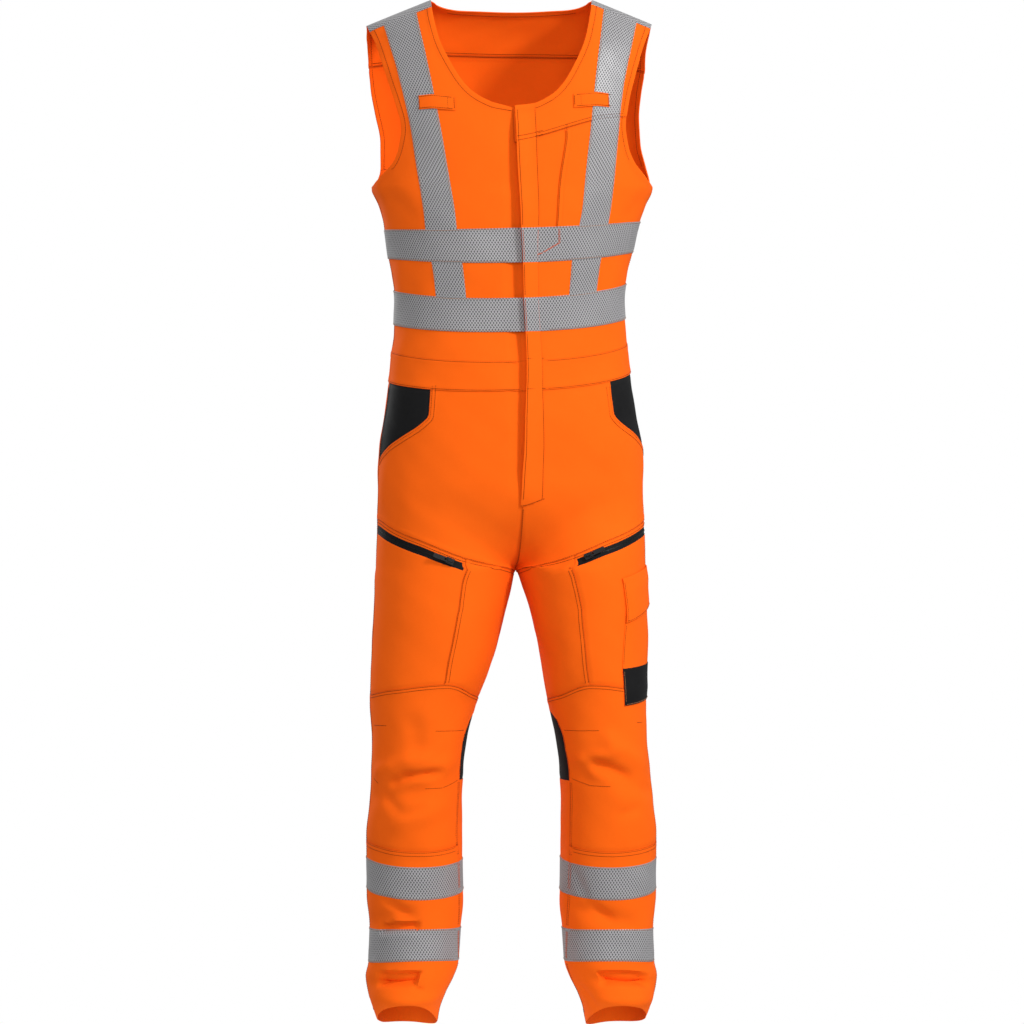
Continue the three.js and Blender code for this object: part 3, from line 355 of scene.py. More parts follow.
def clothAt(side, turn, way):  # a point on the cloth, the way out, and its steps for a turn and for a way
    around = bodyPoint(side, turn + turnProbe, way) - bodyPoint(side, turn - turnProbe, way)
    up = bodyPoint(side, turn, way + wayProbe) - bodyPoint(side, turn, way - wayProbe)
    outward = np.cross(around, up) * side
    outward /= np.maximum(np.linalg.norm(outward, axis=-1, keepdims=True), 1e-9)
    depth = creaseDepth(side, turn, way) + rippleDepth(side, turn, way)
    point = bodyPoint(side, turn, way) + outward * depth[..., None]
    return point, outward, around / (2 * turnProbe), up / (2 * wayProbe)


# The pattern. A line runs up the cloth and gives the turn; a level runs across and gives the way.
def atTurn(turn):
    return lambda way, guess, side=1: np.full(np.shape(way), float(turn))


def atWay(way):
    return lambda turn, side=1: np.full(np.shape(turn), float(way))


def turnOf(across, way):
    half = trunkRing["half"](climbed(way))
    return np.arcsin(np.minimum(signedPower(across / half, 1 / torsoRoundness), 1)) / np.pi


def acrossLine(*rows):
    across = curvePairs(*rows)

    def line(way, turn, side=1):
        height = np.where(way > armpitHeight, trunkPoint(1, turn, way)[..., 2], way)
        return turnOf(across(height), way)

    return line


def acrossAlways(distance):
    return acrossLine((900, distance), (neckPointHeight, distance))


def onBack(line):
    return lambda way, turn, side=1: 1 - line(way, 1 - turn)


def onFarBack(line):
    return lambda way, turn, side=1: 1 + line(way, turn - 1)


def lineOfTurns(*rows):
    curve = curvePairs(*rows)
    return lambda way, turn, side=1: curve(way)


def sided(left, right):
    return lambda way, turn, side=1: (left if side > 0 else right)(way, turn)


def levelOfTurns(*rows):
    curve = curvePairs(*rows)
    return lambda turn, side=1: curve(turn)


def raised(level, rise):
    return lambda turn, side=1: level(turn, side) + rise


def shifted(line, turns):
    return lambda way, turn, side=1: line(way, turn, side) + turns


def trunkLevel(front, outer, back, tilt=0):  # a tilt lifts the wearer's left and lowers the right
    def level(turn, side=1):
        facing = np.cos(np.pi * turn)
        tilted = outer + tilt * side * np.sin(np.pi * turn)
        return tilted + (front - back) / 2 * facing + ((front + back) / 2 - outer) * facing**2

    return level


# Past the top of the shoulder a line or level of the front is met again from the back.
def overTop(back, front):
    return lambda way, turn, side=1: np.where(way > topWay, front(climbed(way), turn), back(way, turn))


def pastTop(level):
    return lambda turn, side=1: 2 * topWay - level(np.abs(1 - turn))


def legLevel(inner, front, outer, back):
    ends, faces = (inner + outer) / 2, (front + back) / 2

    def level(turn, side=1):
        angle = 2 * np.pi * turn
        wave = (ends + faces) / 2 + (ends - faces) / 2 * np.cos(2 * angle)
        return wave + (inner - outer) / 2 * np.cos(angle) + (front - back) / 2 * np.sin(angle)

    return level


def switched(way, upper, lower):
    return lambda place, turn, side=1: np.where(place > way, upper(place, turn, side), lower(place, turn, side))


centre, sideSeam, backCentre = atTurn(0), atTurn(0.5), atTurn(1)
placketEdge = acrossLine((770, -3), (830, -1), (885, 1), (950, 4.5), (1040, 7), (1129, 6.5), (1181, 2.5),
                         (1209, 1), (1300, 0), (1345, 0))
placketStitch = acrossLine((690, 35.6), (770, 29), (1500, 29))
placketFoot = levelOfTurns((-0.01, 763.5), (0, 765), (0.035, 773.5), (0.05, 777))
neckFront = acrossLine((1345, 0), (1351, 32), (1373, 66), (1408, 89), (1449, 107), (1491, 116), (1514, 119))
armFront = {
    "left": acrossLine((1236, 208), (1248, 195), (1268, 175), (1290, 166), (1318, 162.5), (1350, 168),
                       (1385, 176.5), (1435, 192), (1479, 208)),
    "right": acrossLine((1236, 208), (1248, 196), (1268, 178), (1290, 170), (1318, 166), (1350, 171.5),
                        (1385, 182), (1435, 197), (1479, 215)),
}
armBack = {
    "left": acrossLine((1236, 208), (1248, 207), (1268, 203), (1305, 195.5), (1345, 194), (1378, 196),
                       (1411, 199.5), (1443, 202), (1479, 208)),
    "right": acrossLine((1236, 208), (1248, 200), (1268, 194), (1305, 194), (1345, 201), (1378, 207.5),
                        (1411, 211.5), (1443, 213.5), (1479, 215)),
}
innerRows = (1000, 70), (1070, 75.5), (1118, 80), (1170, 89)
outerRows = (1000, 112), (1070, 117.5), (1118, 123), (1170, 133)
braceInner = {
    "left": acrossLine(*innerRows, (1361, 116), (1503, 137)),
    "right": acrossLine(*innerRows, (1361, 115.5), (1503, 142)),
}
braceOuter = {
    "left": acrossLine(*outerRows, (1361, 158.5), (1483, 185.5)),
    "right": acrossLine(*outerRows, (1361, 159.5), (1483, 190.5)),
}
neckEndLine = acrossAlways(neckPointAcross)
neckWay = 1308
openingEdge = switched(neckWay, neckFront, centre)
frontSide = {name: switched(armpitHeight, armFront[name], sideSeam) for name in armFront}
backSide = switched(armpitHeight, onBack(armBack["left"]), sideSeam)
farBackSide = switched(armpitHeight, onFarBack(armBack["right"]), atTurn(1.5))

waistLower, waistUpper = trunkLevel(932, 956, 962, 9), trunkLevel(976, 1001, 1007, 8)
lowerTapeBottom, lowerTapeTop = trunkLevel(1018, 1038.5, 1046, 6.5), trunkLevel(1067, 1090, 1096, 7)
upperTapeBottom, upperTapeTop = trunkLevel(1118, 1136, 1139, 6), trunkLevel(1168, 1180.5, 1187, 7.5)
armpitLevel, armCurveLevel = trunkLevel(1222, 1236, 1236), trunkLevel(1240, 1248, 1250)
frontYokeSeam = levelOfTurns((0, 1268), (0.15, 1291), (0.3, 1308))
neckLevels = [levelOfTurns((0, way), (0.3, way + rise)) for way, rise in
              [(neckWay, 36), (1313, 32), (1332, 25), (1366, 18), (1414, 11), (1480, 4)]]
shoulderTop, backYokeSeam = atWay(topWay), levelOfTurns((0.6, 1393), (1, 1399), (1.4, 1405))
shoulderTapeFront = {"left": 1509, "right": 1498}
shoulderTapeBack = {"left": 1570, "right": 1573}
yokeFold = levelOfTurns((0.8, 1536), (0.835, 1534), (0.868, 1519), (0.905, 1506), (1, 1499), (1.095, 1506),
                        (1.132, 1519), (1.165, 1534), (1.2, 1536))
backNeck = levelOfTurns((0.8, topWay), (0.836, topWay - 1), (0.85, 1542), (0.876, 1523), (0.905, 1515),
                        (1, 1508), (1.095, 1515), (1.124, 1523), (1.15, 1542), (1.164, topWay - 1),
                        (1.2, topWay))

hipPocketEdge = sided(lineOfTurns((841, 0.5), (845, 0.49), (893, 0.262), (901, 0.25), (970, 0.25)),
                      lineOfTurns((830, 0.5), (834, 0.49), (886, 0.258), (897, 0.238), (970, 0.243)))
hipMiddle = sided(lineOfTurns((760, 1 / 3), (845, 0.33), (901, 0.241)),
                  lineOfTurns((760, 1 / 3), (835, 0.33), (893, 0.226)))
pocketCorner, pocketTip = trunkLevel(884, 908, 908), trunkLevel(830, 839.5, 850, 5.5)
hipLevel, flyEnd = trunkLevel(792, 800, 800), trunkLevel(768, 778, 770)
thighSeam = levelOfTurns((0, 667), (0.07, 672), (0.134, 679.5), (0.2, 690), (0.305, 716), (0.5, 745),
                         (0.75, 716), (0.9, 679), (1, 667))
zipTop, zipMiddle, zipBottom = raised(thighSeam, -8), raised(thighSeam, -14.75), raised(thighSeam, -21.5)
kneeSeam = levelOfTurns((0, 481), (0.1, 489), (0.217, 505), (0.36, 497), (0.5, 488), (0.75, 490), (1, 481))
gussetTop, gussetBottom = 464, 363
kneeBottomSeam = legLevel(271, 260, 272, 275)
legTapes = {
    "upper": (legLevel(198, 189, 200, 202), legLevel(246, 237, 247, 250)),
    "lower": (legLevel(94, 100, 92, 96), legLevel(143, 146, 142, 146)),
}
hemLevel = legLevel(0, 36, 4, -9)
thighSplit = sided(
    lineOfTurns((508, 0.2115), (557, 0.2085), (604, 0.211), (646, 0.2215), (679, 0.229), (691, 0.214),
                (705, 0.2)),
    lineOfTurns((505, 0.2225), (557, 0.2295), (604, 0.2285), (646, 0.2175), (679, 0.198), (691, 0.181),
                (705, 0.166)))
zipStart = shifted(thighSplit, 0.008)  # the zip ends beside the seam down the thigh
cargoFront = lineOfTurns((470, 0.314), (541, 0.317), (591, 0.328), (655, 0.343))
cargoBack = atTurn(7 / 12)

# The knee gusset runs from the inseam to a front edge that goes on down the shin as its inner seam.
frontInseam = lineOfTurns((0, 0.005), (60, 0.02), (150, 0.06), (257, 0.083), (420, 0.083), (450, 0.058),
                          (gussetTop, 0.0083), (gussetTop + 1, 0))
gussetBehind = lineOfTurns((gussetBottom, -0.045), (380, -0.058), (430, -0.052), (456, -0.026),
                           (gussetTop, -0.006), (gussetTop + 1, 0))


def nextTurn(line):
    return lambda way, turn, side=1: 1 + line(way, turn - 1, side)


backInseam = switched(gussetBottom - 0.5, nextTurn(gussetBehind), nextTurn(frontInseam))


# Marks are lines or levels in order; a number between two is the size of the cells there.
cellSize, fineCells = 6, 4.5
edgeCells, edgeReach = (0.7, 2, 3.6, 5.4, 7.4, 9.6), 12.5  # narrow cells beside a seam, and where they end


def splitMarks(marks):
    stops, cells = [], []
    for mark in marks:
        if callable(mark):
            stops.append(mark)
            cells.append(None)
        else:
            cells[-1] = mark
    return stops, cells[:-1]


def between(stops, steps, shape, turned, evaluate):
    values = np.empty(shape)
    for gap in range(len(stops) - 1):
        here = steps[0] == gap
        if not here.any():
            continue
        pick = (slice(None), here) if turned else (here, slice(None))
        share = steps[1][here] if turned else steps[1][here][:, None]
        low, high = evaluate(stops[gap], pick), evaluate(stops[gap + 1], pick)
        values[pick] = low + (high - low) * share
    return values


def crossings(side, lines, columns, levels, rows, guess):  # where lines and levels meet, found step by step
    shape = (len(columns[0]), len(rows[0]))
    turn = np.full(shape, float(guess))
    for _ in range(34):
        way = between(levels, rows, shape, True, lambda level, pick: level(turn[pick], side))
        aim = between(lines, columns, shape, False, lambda line, pick: line(way[pick], turn[pick], side))
        turn += (aim - turn) / 2
    return turn, way


def evenSteps(count):  # four steps to a gap, for a first look at its size
    gaps = np.repeat(np.arange(count), 4)
    return np.append(gaps, count - 1), np.append(np.tile([0, 0.25, 0.5, 0.75], count), 1.0)


def stepsFor(lengths, cells, size, fine):
    gaps, shares = [], []
    last = len(lengths) - 1
    for gap, length in enumerate(lengths):
        count = max(1, math.ceil(length / (cells[gap] or size)))
        places = np.arange(count) / count
        if fine and cells[gap] is None and length > 25:
            steps = np.array(edgeCells) / length
            if gap == 0:
                places = np.concatenate([[0], steps, places[places > edgeReach / length]])
            if gap == last:
                places = np.concatenate([places[places < 1 - edgeReach / length], 1 - steps[::-1]])
        gaps += [gap] * len(places)
        shares += list(places)
    return np.array(gaps + [last]), np.array(shares + [1.0])


def along(points, axis):  # distances gone along the columns or rows
    steps = np.linalg.norm(np.diff(points, axis=axis), axis=-1)
    pad = [(0, 0), (0, 0)]
    pad[axis] = (1, 0)
    return np.cumsum(np.pad(steps, pad), axis=axis)


def clothGrid(side, lines, levels, guess=0.2, size=cellSize, fine=True):
    lineStops, lineCells = splitMarks(lines)
    levelStops, levelCells = splitMarks(levels)
    coarse = evenSteps(len(lineStops) - 1), evenSteps(len(levelStops) - 1)
    turn, way = crossings(side, lineStops, coarse[0], levelStops, coarse[1], guess)
    points = bodyPoint(side, turn, way)
    wide = [along(points, 0)[4 * k + 4] - along(points, 0)[4 * k] for k in range(len(lineStops) - 1)]
    tall = [along(points, 1)[:, 4 * k + 4] - along(points, 1)[:, 4 * k] for k in range(len(levelStops) - 1)]
    columns = stepsFor([w.max() for w in wide], lineCells, size, fine)
    rows = stepsFor([t.max() for t in tall], levelCells, size, fine)
    return crossings(side, lineStops, columns, levelStops, rows, guess)


def distanceTo(points, path):
    best = np.full(points.shape[:-1], 1e6)
    for start, end in zip(path[:-1], path[1:]):
        line = end - start
        share = np.clip(((points - start) @ line) / max(line @ line, 1e-9), 0, 1)
        best = np.minimum(best, np.linalg.norm(points - start - share[..., None] * line, axis=-1))
    return best


def lineCurve(line, ways, guess, side=1):
    turn = np.full(np.shape(ways), float(guess))
    for _ in range(40):
        turn += (line(ways, turn, side) - turn) / 2
    return turn, ways


# Open edges of the garment, each a run of places on the cloth.
shoulderWays = np.concatenate([np.linspace(armpitHeight, 1560, 90), np.linspace(1564, topWay, 5)])
neckWays = np.concatenate([neckWay + np.linspace(0, 1, 30) ** 2 * 30, np.linspace(1341, topWay, 60)])
backNeckTurns = np.linspace(0.8365, 1.1635, 120)
openEdges = {
    "neckRight": (-1, *lineCurve(neckFront, neckWays, 0.05)),
    "neckLeft": (1, *lineCurve(neckFront, neckWays, 0.05)),
    "neckBack": (1, backNeckTurns, backNeck(backNeckTurns)),
    "armFrontRight": (-1, *lineCurve(armFront["right"], shoulderWays, 0.4)),
    "armFrontLeft": (1, *lineCurve(armFront["left"], shoulderWays, 0.4)),
    "armBackLeft": (1, *lineCurve(onBack(armBack["left"]), shoulderWays, 0.6)),
    "armBackRight": (1, *lineCurve(onFarBack(armBack["right"]), shoulderWays, 1.4)),
}
openPaths = {name: bodyPoint(side, turn, way) for name, (side, turn, way) in openEdges.items()}
hem = {
    "width": 9,
    "step": (0.6, 2.2),  # past its width it thins out between these
    "over": 0.35,
    "thick": 0.9,
    "rounding": (0.3, 1.2),
    "sewn": 7.4,
    "search": 20,
}

# Meshes, with each piece's place on the cloth kept for its finish.
pieces = {}


def linked(name, data):
    thing = bpy.data.objects.new(name, data)
    bpy.context.scene.collection.objects.link(thing)
    return thing


def meshFrom(name, points, quads, place, finish):  # place: mm across, mm up and mm to the nearest seam
    mesh = bpy.data.meshes.new(name)
    mesh.vertices.add(len(points))
    mesh.vertices.foreach_set("co", toFrame(points).astype(np.float32).ravel())
    mesh.loops.add(quads.size)
    mesh.loops.foreach_set("vertex_index", quads.astype(np.int32).ravel())
    mesh.polygons.add(len(quads))
    mesh.polygons.foreach_set("loop_start", np.arange(0, quads.size, 4, dtype=np.int32))
    layer = mesh.attributes.new("clothPlace", "FLOAT_VECTOR", "POINT")
    layer.data.foreach_set("vector", place.astype(np.float32).ravel())
    mesh.update(calc_edges=True)
    mesh.validate()
    mesh.shade_smooth()
    mesh.set_sharp_from_angle(angle=math.radians(50))
    mesh.materials.append(finish)
    thing = pieces[name] = linked(name, mesh)
    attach(thing, "garment")
    return thing


def wallQuads(columns, rows, side):
    outer = np.arange(columns * rows).reshape(columns, rows)
    inner = outer + columns * rows

    def quads(a, b, c, d):
        return np.stack([a.ravel(), b.ravel(), c.ravel(), d.ravel()], -1)

    faces = np.concatenate([
        quads(outer[:-1, :-1], outer[1:, :-1], outer[1:, 1:], outer[:-1, 1:]),
        quads(inner[:-1, :-1], inner[:-1, 1:], inner[1:, 1:], inner[1:, :-1]),
        quads(outer[1:, 0], outer[:-1, 0], inner[:-1, 0], inner[1:, 0]),
        quads(outer[:-1, -1], outer[1:, -1], inner[1:, -1], inner[:-1, -1]),
        quads(outer[0, :-1], outer[0, 1:], inner[0, 1:], inner[0, :-1]),
        quads(outer[-1, 1:], outer[-1, :-1], inner[-1, :-1], inner[-1, 1:]),
    ])
    return faces if side > 0 else faces[:, ::-1]


wall = {
    "thick": 0.8,
    "over": 0.5,  # a felled edge lies this far up on its neighbour, and comes down between these distances
    "overEnds": (8.2, 10),
    "overRounding": (0.3, 1.4),  # a rounding's depth, and how far it goes in
    "under": -0.6,
    "underEnds": 7,
    "tuck": 4,  # how far the lower panel goes on under the upper
    "freeRounding": (0.25, 1.2),
    "seamRows": (2, 7),
    "dip": 0.2,  # how far a row of stitches pulls the cloth in
    "dipWidth": 0.75,
    "pucker": 0.07,
    "puckerReach": 8,
}
puckerWaves = [(1, 3.1, 0), (0.7, 2.07, 1.3), (0.8, 5.3, 0.4)]  # share, length and phase


def sewnDip(distance, row):
    return wall["dip"] * np.exp(-((distance - row) / wall["dipWidth"]) ** 2)


def rounding(distance, deep, reach):
    return -deep * (1 - smooth(distance, 0, reach))


def edgeLift(style, distance):
    if style == "over":
        return (wall["over"] * (1 - smooth(distance, *wall["overEnds"]))
                + rounding(distance, *wall["overRounding"]))
    if style == "under":
        return wall["under"] * (1 - smooth(distance, 0, wall["underEnds"]))
    return rounding(distance, *wall["freeRounding"])


def puckers(run, distance):
    wave = sum(share * np.sin(run / length + phase) for share, length, phase in puckerWaves)
    return wall["pucker"] * wave * np.exp(-distance / wall["puckerReach"])


everywhere, farAway = (-999, 9999), 99.0
rimCells = {  # the grid's cells along each edge, and the way out of the panel there
    "start": ((0, slice(None)), -1),
    "end": ((-1, slice(None)), 1),
    "low": ((slice(None), 0), -1),
    "high": ((slice(None), -1), 1),
}


def sewEdges(side, turn, way, total, edges, distances):  # also gives how far the nearest seam is
    _, _, perTurn, perWay = clothAt(side, turn, way)
    turnLength, wayLength = np.linalg.norm(perTurn, axis=-1), np.linalg.norm(perWay, axis=-1)
    near = np.full(turn.shape, farAway)
    for edge, styles in edges.items():
        upright = edge in ("start", "end")
        for style, low, high in [(styles, *everywhere)] if isinstance(styles, str) else styles:
            distance = distances[edge]
            active = smooth(way, low - 1, low + 1) * (1 - smooth(way, high - 1, high + 1))
            total += active * edgeLift(style, distance)
            if style == "free":
                continue
            near = np.where(active > 0.5, np.minimum(near, distance), near)
            total += active * puckers(distances["low" if upright else "start"], distance)
            if style == "over":
                for row in wall["seamRows"]:
                    total -= active * sewnDip(distance, row)
            else:
                pick, sign = rimCells[edge]
                tucked, length = (turn, turnLength) if upright else (way, wayLength)
                tucked[pick] += sign * wall["tuck"] * active[pick] / length[pick]
    return near


def turnHems(flat, total, near, opens):  # the band turned in along open edges, thicker than the cloth
    extra = np.zeros(total.shape)
    for edge in opens:
        close = np.full(total.shape, farAway)
        path = openPaths[edge]
        here = ((flat > path.min(0) - hem["search"]) & (flat < path.max(0) + hem["search"])).all(-1)
        close[here] = distanceTo(flat[here], path)
        band = 1 - smooth(close, hem["width"] + hem["step"][0], hem["width"] + hem["step"][1])
        total += hem["over"] * band + rounding(close, *hem["rounding"])
        total -= sewnDip(close, hem["sewn"])
        extra += hem["thick"] * band
        near = np.minimum(near, np.abs(close - hem["sewn"]) + 1)
    return near, extra


def spreadFlat(outer, hangs):  # works out the areas of the sheet's cells, and keeps nothing of them
    corner = outer[:-1, :-1]
    steps = np.linalg.norm(np.cross(outer[1:, :-1] - corner, outer[:-1, 1:] - corner), axis=-1)


def addCloth(node, side, lines, levels, finish, edges, guess=0.2, size=cellSize, lift=0.0, thick=wall["thick"],
             relief=None, opens=(), fine=True, hangs="back_yoke"):
    turn, way = clothGrid(side, lines, levels, guess, size, fine)
    flat = bodyPoint(side, turn, way)
    around, upward = along(flat, 0), along(flat, 1)
    distances = {"start": around, "end": around[-1:] - around, "low": upward, "high": upward[:, -1:] - upward}
    total = np.full(turn.shape, float(lift))
    near = sewEdges(side, turn, way, total, edges, distances)
    near, extra = turnHems(flat, total, near, opens)
    if relief:
        total += relief(turn, way, distances)
    points, outward, _, _ = clothAt(side, turn, way)
    outer = points + outward * total[..., None]
    inner = points + outward * (total - thick - extra)[..., None]
    columns, rows = turn.shape
    if around.max() > upward.max():  # a long piece's print follows its middle
        place = [np.broadcast_to(around[:, rows // 2][:, None], around.shape), upward, near]
    else:
        place = [around, np.broadcast_to(upward[columns // 2][None], upward.shape), near]
    place = np.stack(place, -1).reshape(-1, 3)
    thing = meshFrom(node, np.concatenate([outer.reshape(-1, 3), inner.reshape(-1, 3)]),
                     wallQuads(columns, rows, side), np.concatenate([place, place]), finish)
    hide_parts(node)
    next(part["material_slot"] for part in frame["record"]["subparts"] if part["node"] == node)
    spreadFlat(outer, hangs)


# Stitches are gathered by colour and made into meshes at the end.
thread = {
    "pitch": 3.4,
    "length": 3.2,
    "radius": 0.42,
    "rise": 0.12,
    "onSeam": 0.34,  # how far out a stitch lies on a seam with its rows pressed in
    "onEdge": 0.6,  # and on a felled edge
}
stitches = {}


def insetPlaces(side, turn, way, inset, toward):  # the run of places a distance in from an edge, toward a place
    point, outward, perTurn, perWay = clothAt(side, turn, way)
    tangent = np.gradient(point, axis=0)
    inward = np.cross(outward, tangent)
    inward /= np.maximum(np.linalg.norm(inward, axis=-1, keepdims=True), 1e-9)
    aim = bodyPoint(side, np.array([toward[0]]), np.array([toward[1]]))[0]
    inward *= np.sign(((aim - point) * inward).sum(-1, keepdims=True)) * inset
    uu, vv = (perTurn**2).sum(-1), (perWay**2).sum(-1)
    uv = (perTurn * perWay).sum(-1)
    du, dv = (perTurn * inward).sum(-1), (perWay * inward).sum(-1)
    scale = np.maximum(uu * vv - uv**2, 1e-9)
    return turn + (du * vv - dv * uv) / scale, way + (dv * uu - du * uv) / scale


def gonePast(points):  # how far along a run each point is
    return np.concatenate([[0], np.cumsum(np.linalg.norm(np.diff(points, axis=0), axis=-1))])


def placedAt(places, gone, values):
    return np.stack([np.interp(places, gone, values[:, k]) for k in range(3)], -1)


def sew(colour, side, turn, way, lift=0.0, inside=False):
    turn, way = np.broadcast_arrays(np.asarray(turn, float), np.asarray(way, float))
    points, outward, _, _ = clothAt(side, turn, way)
    if inside:
        points, outward = points - outward * (wall["thick"] + hem["thick"]), -outward
    points = points + outward * np.reshape(lift, (-1, 1))
    gone = gonePast(points)
    keep = np.concatenate([[True], np.diff(gone) > 1e-6])
    points, outward, gone = points[keep], outward[keep], gone[keep]
    pitch, length = thread["pitch"], thread["length"]
    count = int(gone[-1] // pitch)
    if count < 1:
        return
    starts = (gone[-1] - (count - 1) * pitch - length) / 2 + np.arange(count) * pitch
    places = starts[:, None] + np.array([0, 0.5, 1]) * length
    at, out = placedAt(places, gone, points), placedAt(places, gone, outward)
    forward = at[:, 2:] - at[:, :1]
    forward = forward / np.maximum(np.linalg.norm(forward, axis=-1, keepdims=True), 1e-9)
    aside = np.cross(out, np.broadcast_to(forward, out.shape))
    radius = np.array([0.35, 1, 0.35])[:, None] * thread["radius"]
    rise = (np.array([-0.5, 1, -0.5]) * thread["rise"])[:, None]
    rings = [at + out * (rise + radius * s) + aside * radius * c for c, s in ((1, 0), (0, 1), (-1, 0), (0, -1))]
    stitches.setdefault(colour, []).append(np.stack(rings, 2))


def finishSewing(colour, finish):  # a colour's stitches in one piece, each of three rings of four points
    rings = np.concatenate(stitches.pop(colour))
    count = len(rings)
    base = np.arange(count)[:, None] * 12
    quads = []
    for ring in range(2):
        for k in range(4):
            a, b = ring * 4 + k, ring * 4 + (k + 1) % 4
            quads.append(np.concatenate([base + a, base + a + 4, base + b + 4, base + b], 1))
    runs = np.repeat(np.arange(count), 12).astype(float)
    place = np.stack([runs, runs * 0, runs * 0], -1)
    meshFrom("stitching_" + colour, rings.reshape(-1, 3), np.concatenate(quads), place, finish)
    print(colour, count, "stitches")


def sewEdge(colour, side, turn, way, toward, insets=wall["seamRows"], lift=thread["onSeam"]):
    for inset in insets:
        sew(colour, side, *insetPlaces(side, turn, way, inset, toward), lift=lift)


def levelRun(level, start, end, count=120, side=1):
    turn = np.linspace(start, end, count)
    return turn, level(turn, side)


def lineRun(line, low, high, guess, count=160, side=1):
    return lineCurve(line, np.linspace(low, high, count), guess, side)


# Finishes.
class Sock:  # a node's socket, so that a + b or 1 - a adds the Math node
    def __init__(self, paint, socket):
        self.paint, self.socket = paint, socket

    def maths(self, operation, *others):
        return self.paint.node("ShaderNodeMath", {"operation": operation}, dict(enumerate(others)))

    def __add__(self, other):
        return self.maths("ADD", self, other)

    def __radd__(self, other):
        return self.maths("ADD", other, self)

    def __sub__(self, other):
        return self.maths("SUBTRACT", self, other)

    def __rsub__(self, other):
        return self.maths("SUBTRACT", other, self)

    def __mul__(self, other):
        return self.maths("MULTIPLY", self, other)

    def __rmul__(self, other):
        return self.maths("MULTIPLY", other, self)

    def __truediv__(self, other):
        return self.maths("DIVIDE", self, other)

    def __rtruediv__(self, other):
        return self.maths("DIVIDE", other, self)


class Paint:  # a material's nodes, or the world's
    def __init__(self, owner):
        owner.use_nodes = True
        self.owner, self.tree = owner, owner.node_tree
        self.tree.nodes.clear()

    def node(self, kind, settings=None, sockets=None, output=0):
        made = self.tree.nodes.new(kind)
        for key, value in (settings or {}).items():
            if key == "stops":
                self.setStops(made.color_ramp.elements, value)
            else:
                setattr(made, key, value)
        for key, value in (sockets or {}).items():
            if isinstance(value, Sock):
                self.tree.links.new(value.socket, made.inputs[key])
            else:
                made.inputs[key].default_value = value
        return Sock(self, made.outputs[output]) if made.outputs else made

    def setStops(self, elements, stops):  # each stop is a place and a grey
        while len(elements) < len(stops):
            elements.new(0.5)
        for element, (place, shade) in zip(elements, stops):
            element.position, element.color = place, (shade, shade, shade, 1)

    def ramp(self, value, stops):
        return self.node("ShaderNodeValToRGB", {"stops": stops}, {0: value})

    def sine(self, value):
        return value.maths("SINE", value)

    def clothPlace(self):
        attribute = self.node("ShaderNodeAttribute", {"attribute_name": "clothPlace"}, output=1)
        return [self.node("ShaderNodeSeparateXYZ", sockets={0: attribute}, output=k) for k in range(3)]

    def noise(self, scale, detail):
        where = self.node("ShaderNodeTexCoord", output=3)
        return self.node("ShaderNodeTexNoise", {"noise_dimensions": "3D"},
                         {"Vector": where, "Scale": scale, "Detail": detail, "Roughness": 0.55})

    def mixColours(self, share, first, second):
        return self.node("ShaderNodeMix", {"data_type": "RGBA"}, {0: share, 6: first, 7: second}, output=2)

    def bump(self, height, distance, strength):
        return self.node("ShaderNodeBump", None, {"Height": height, "Distance": distance, "Strength": strength})

    def surface(self, colour, roughness, specular, normal):
        shader = self.node("ShaderNodeBsdfPrincipled", None, {
            "Base Color": colour, "Roughness": roughness, "Specular IOR Level": specular, "Normal": normal})
        self.node("ShaderNodeOutputMaterial", None, {0: shader})
        return self.owner


def newPaint(name):
    return Paint(bpy.data.materials.new(name))


def rgb(red, green, blue):
    return (red, green, blue, 1)


orangeFinish = {
    "colours": (rgb(0.95, 0.131, 0.006), rgb(0.92, 0.124, 0.0055)),
    "seamShadeColours": (rgb(0.86, 0.106, 0.005), rgb(0.42, 0.045, 0.003)),  # painted shade on the cloth by a seam, and painted shadow down in it
    "pitch": 0.55,
    "relief": 0.00003,
    "roughness": 0.9,
    "specular": 0.06,
}
blackFinish = {
    "colours": (rgb(0.0085, 0.0085, 0.009), rgb(0.006, 0.006, 0.0065)),
    # the black cloth a little lighter by a seam, and painted shadow down in it
    "seamShadeColours": (rgb(0.014, 0.014, 0.015), rgb(0.004, 0.004, 0.004)),
    "pitch": 0.9,
    "relief": 0.00005,
    "roughness": 0.8,
    "specular": 0.12,
}


def wovenCloth(name, finish):
    paint = newPaint(name)
    across, up, near = paint.clothPlace()
    twill = paint.sine((across + up) * (2 * math.pi / finish["pitch"])) * 0.5 + 0.5
    weft = paint.sine((across - up * 2) * (2 * math.pi / (finish["pitch"] * 1.7))) * 0.5 + 0.5
    blotch = paint.noise(9, 4)
    slub = paint.noise(160, 2)
    shade = paint.ramp(blotch * 0.75 + slub * 0.25, [(0.36, 0), (0.64, 1)])
    light, dark = finish["colours"]
    colour = paint.mixColours(shade, dark, light)
    # Painted shade: within 7.5 mm of a seam the colour is blended towards the seam colour, and right at the
    # seam towards a dark colour, standing in for the seam's shadow.
    seamShadeBeside, seamShadowIn = finish["seamShadeColours"]
    colour = paint.mixColours(paint.ramp(near * 0.1, [(0.0, 1), (0.75, 0)]) * 0.4, colour, seamShadeBeside)
    colour = paint.mixColours(paint.ramp(near * 0.1, [(0.0, 0.8), (0.03, 0.5), (0.07, 0)]), colour, seamShadowIn)
    normal = paint.bump(twill * 0.7 + weft * 0.3 + slub * 0.6, finish["relief"], 0.6)
    return paint.surface(colour, shade * -0.06 + finish["roughness"], finish["specular"], normal)


orangeCloth, blackCloth = wovenCloth("orange_cloth", orangeFinish), wovenCloth("black_cloth", blackFinish)

tapeFinish = {
    "ground": rgb(0.075, 0.073, 0.078),
    "net": rgb(0.37, 0.362, 0.37),
    "netWorn": rgb(0.46, 0.45, 0.46),
    "wide": 4.45,
    "tall": 6.5,
    "netWidth": 0.24,
    "netFade": 0.22,
}


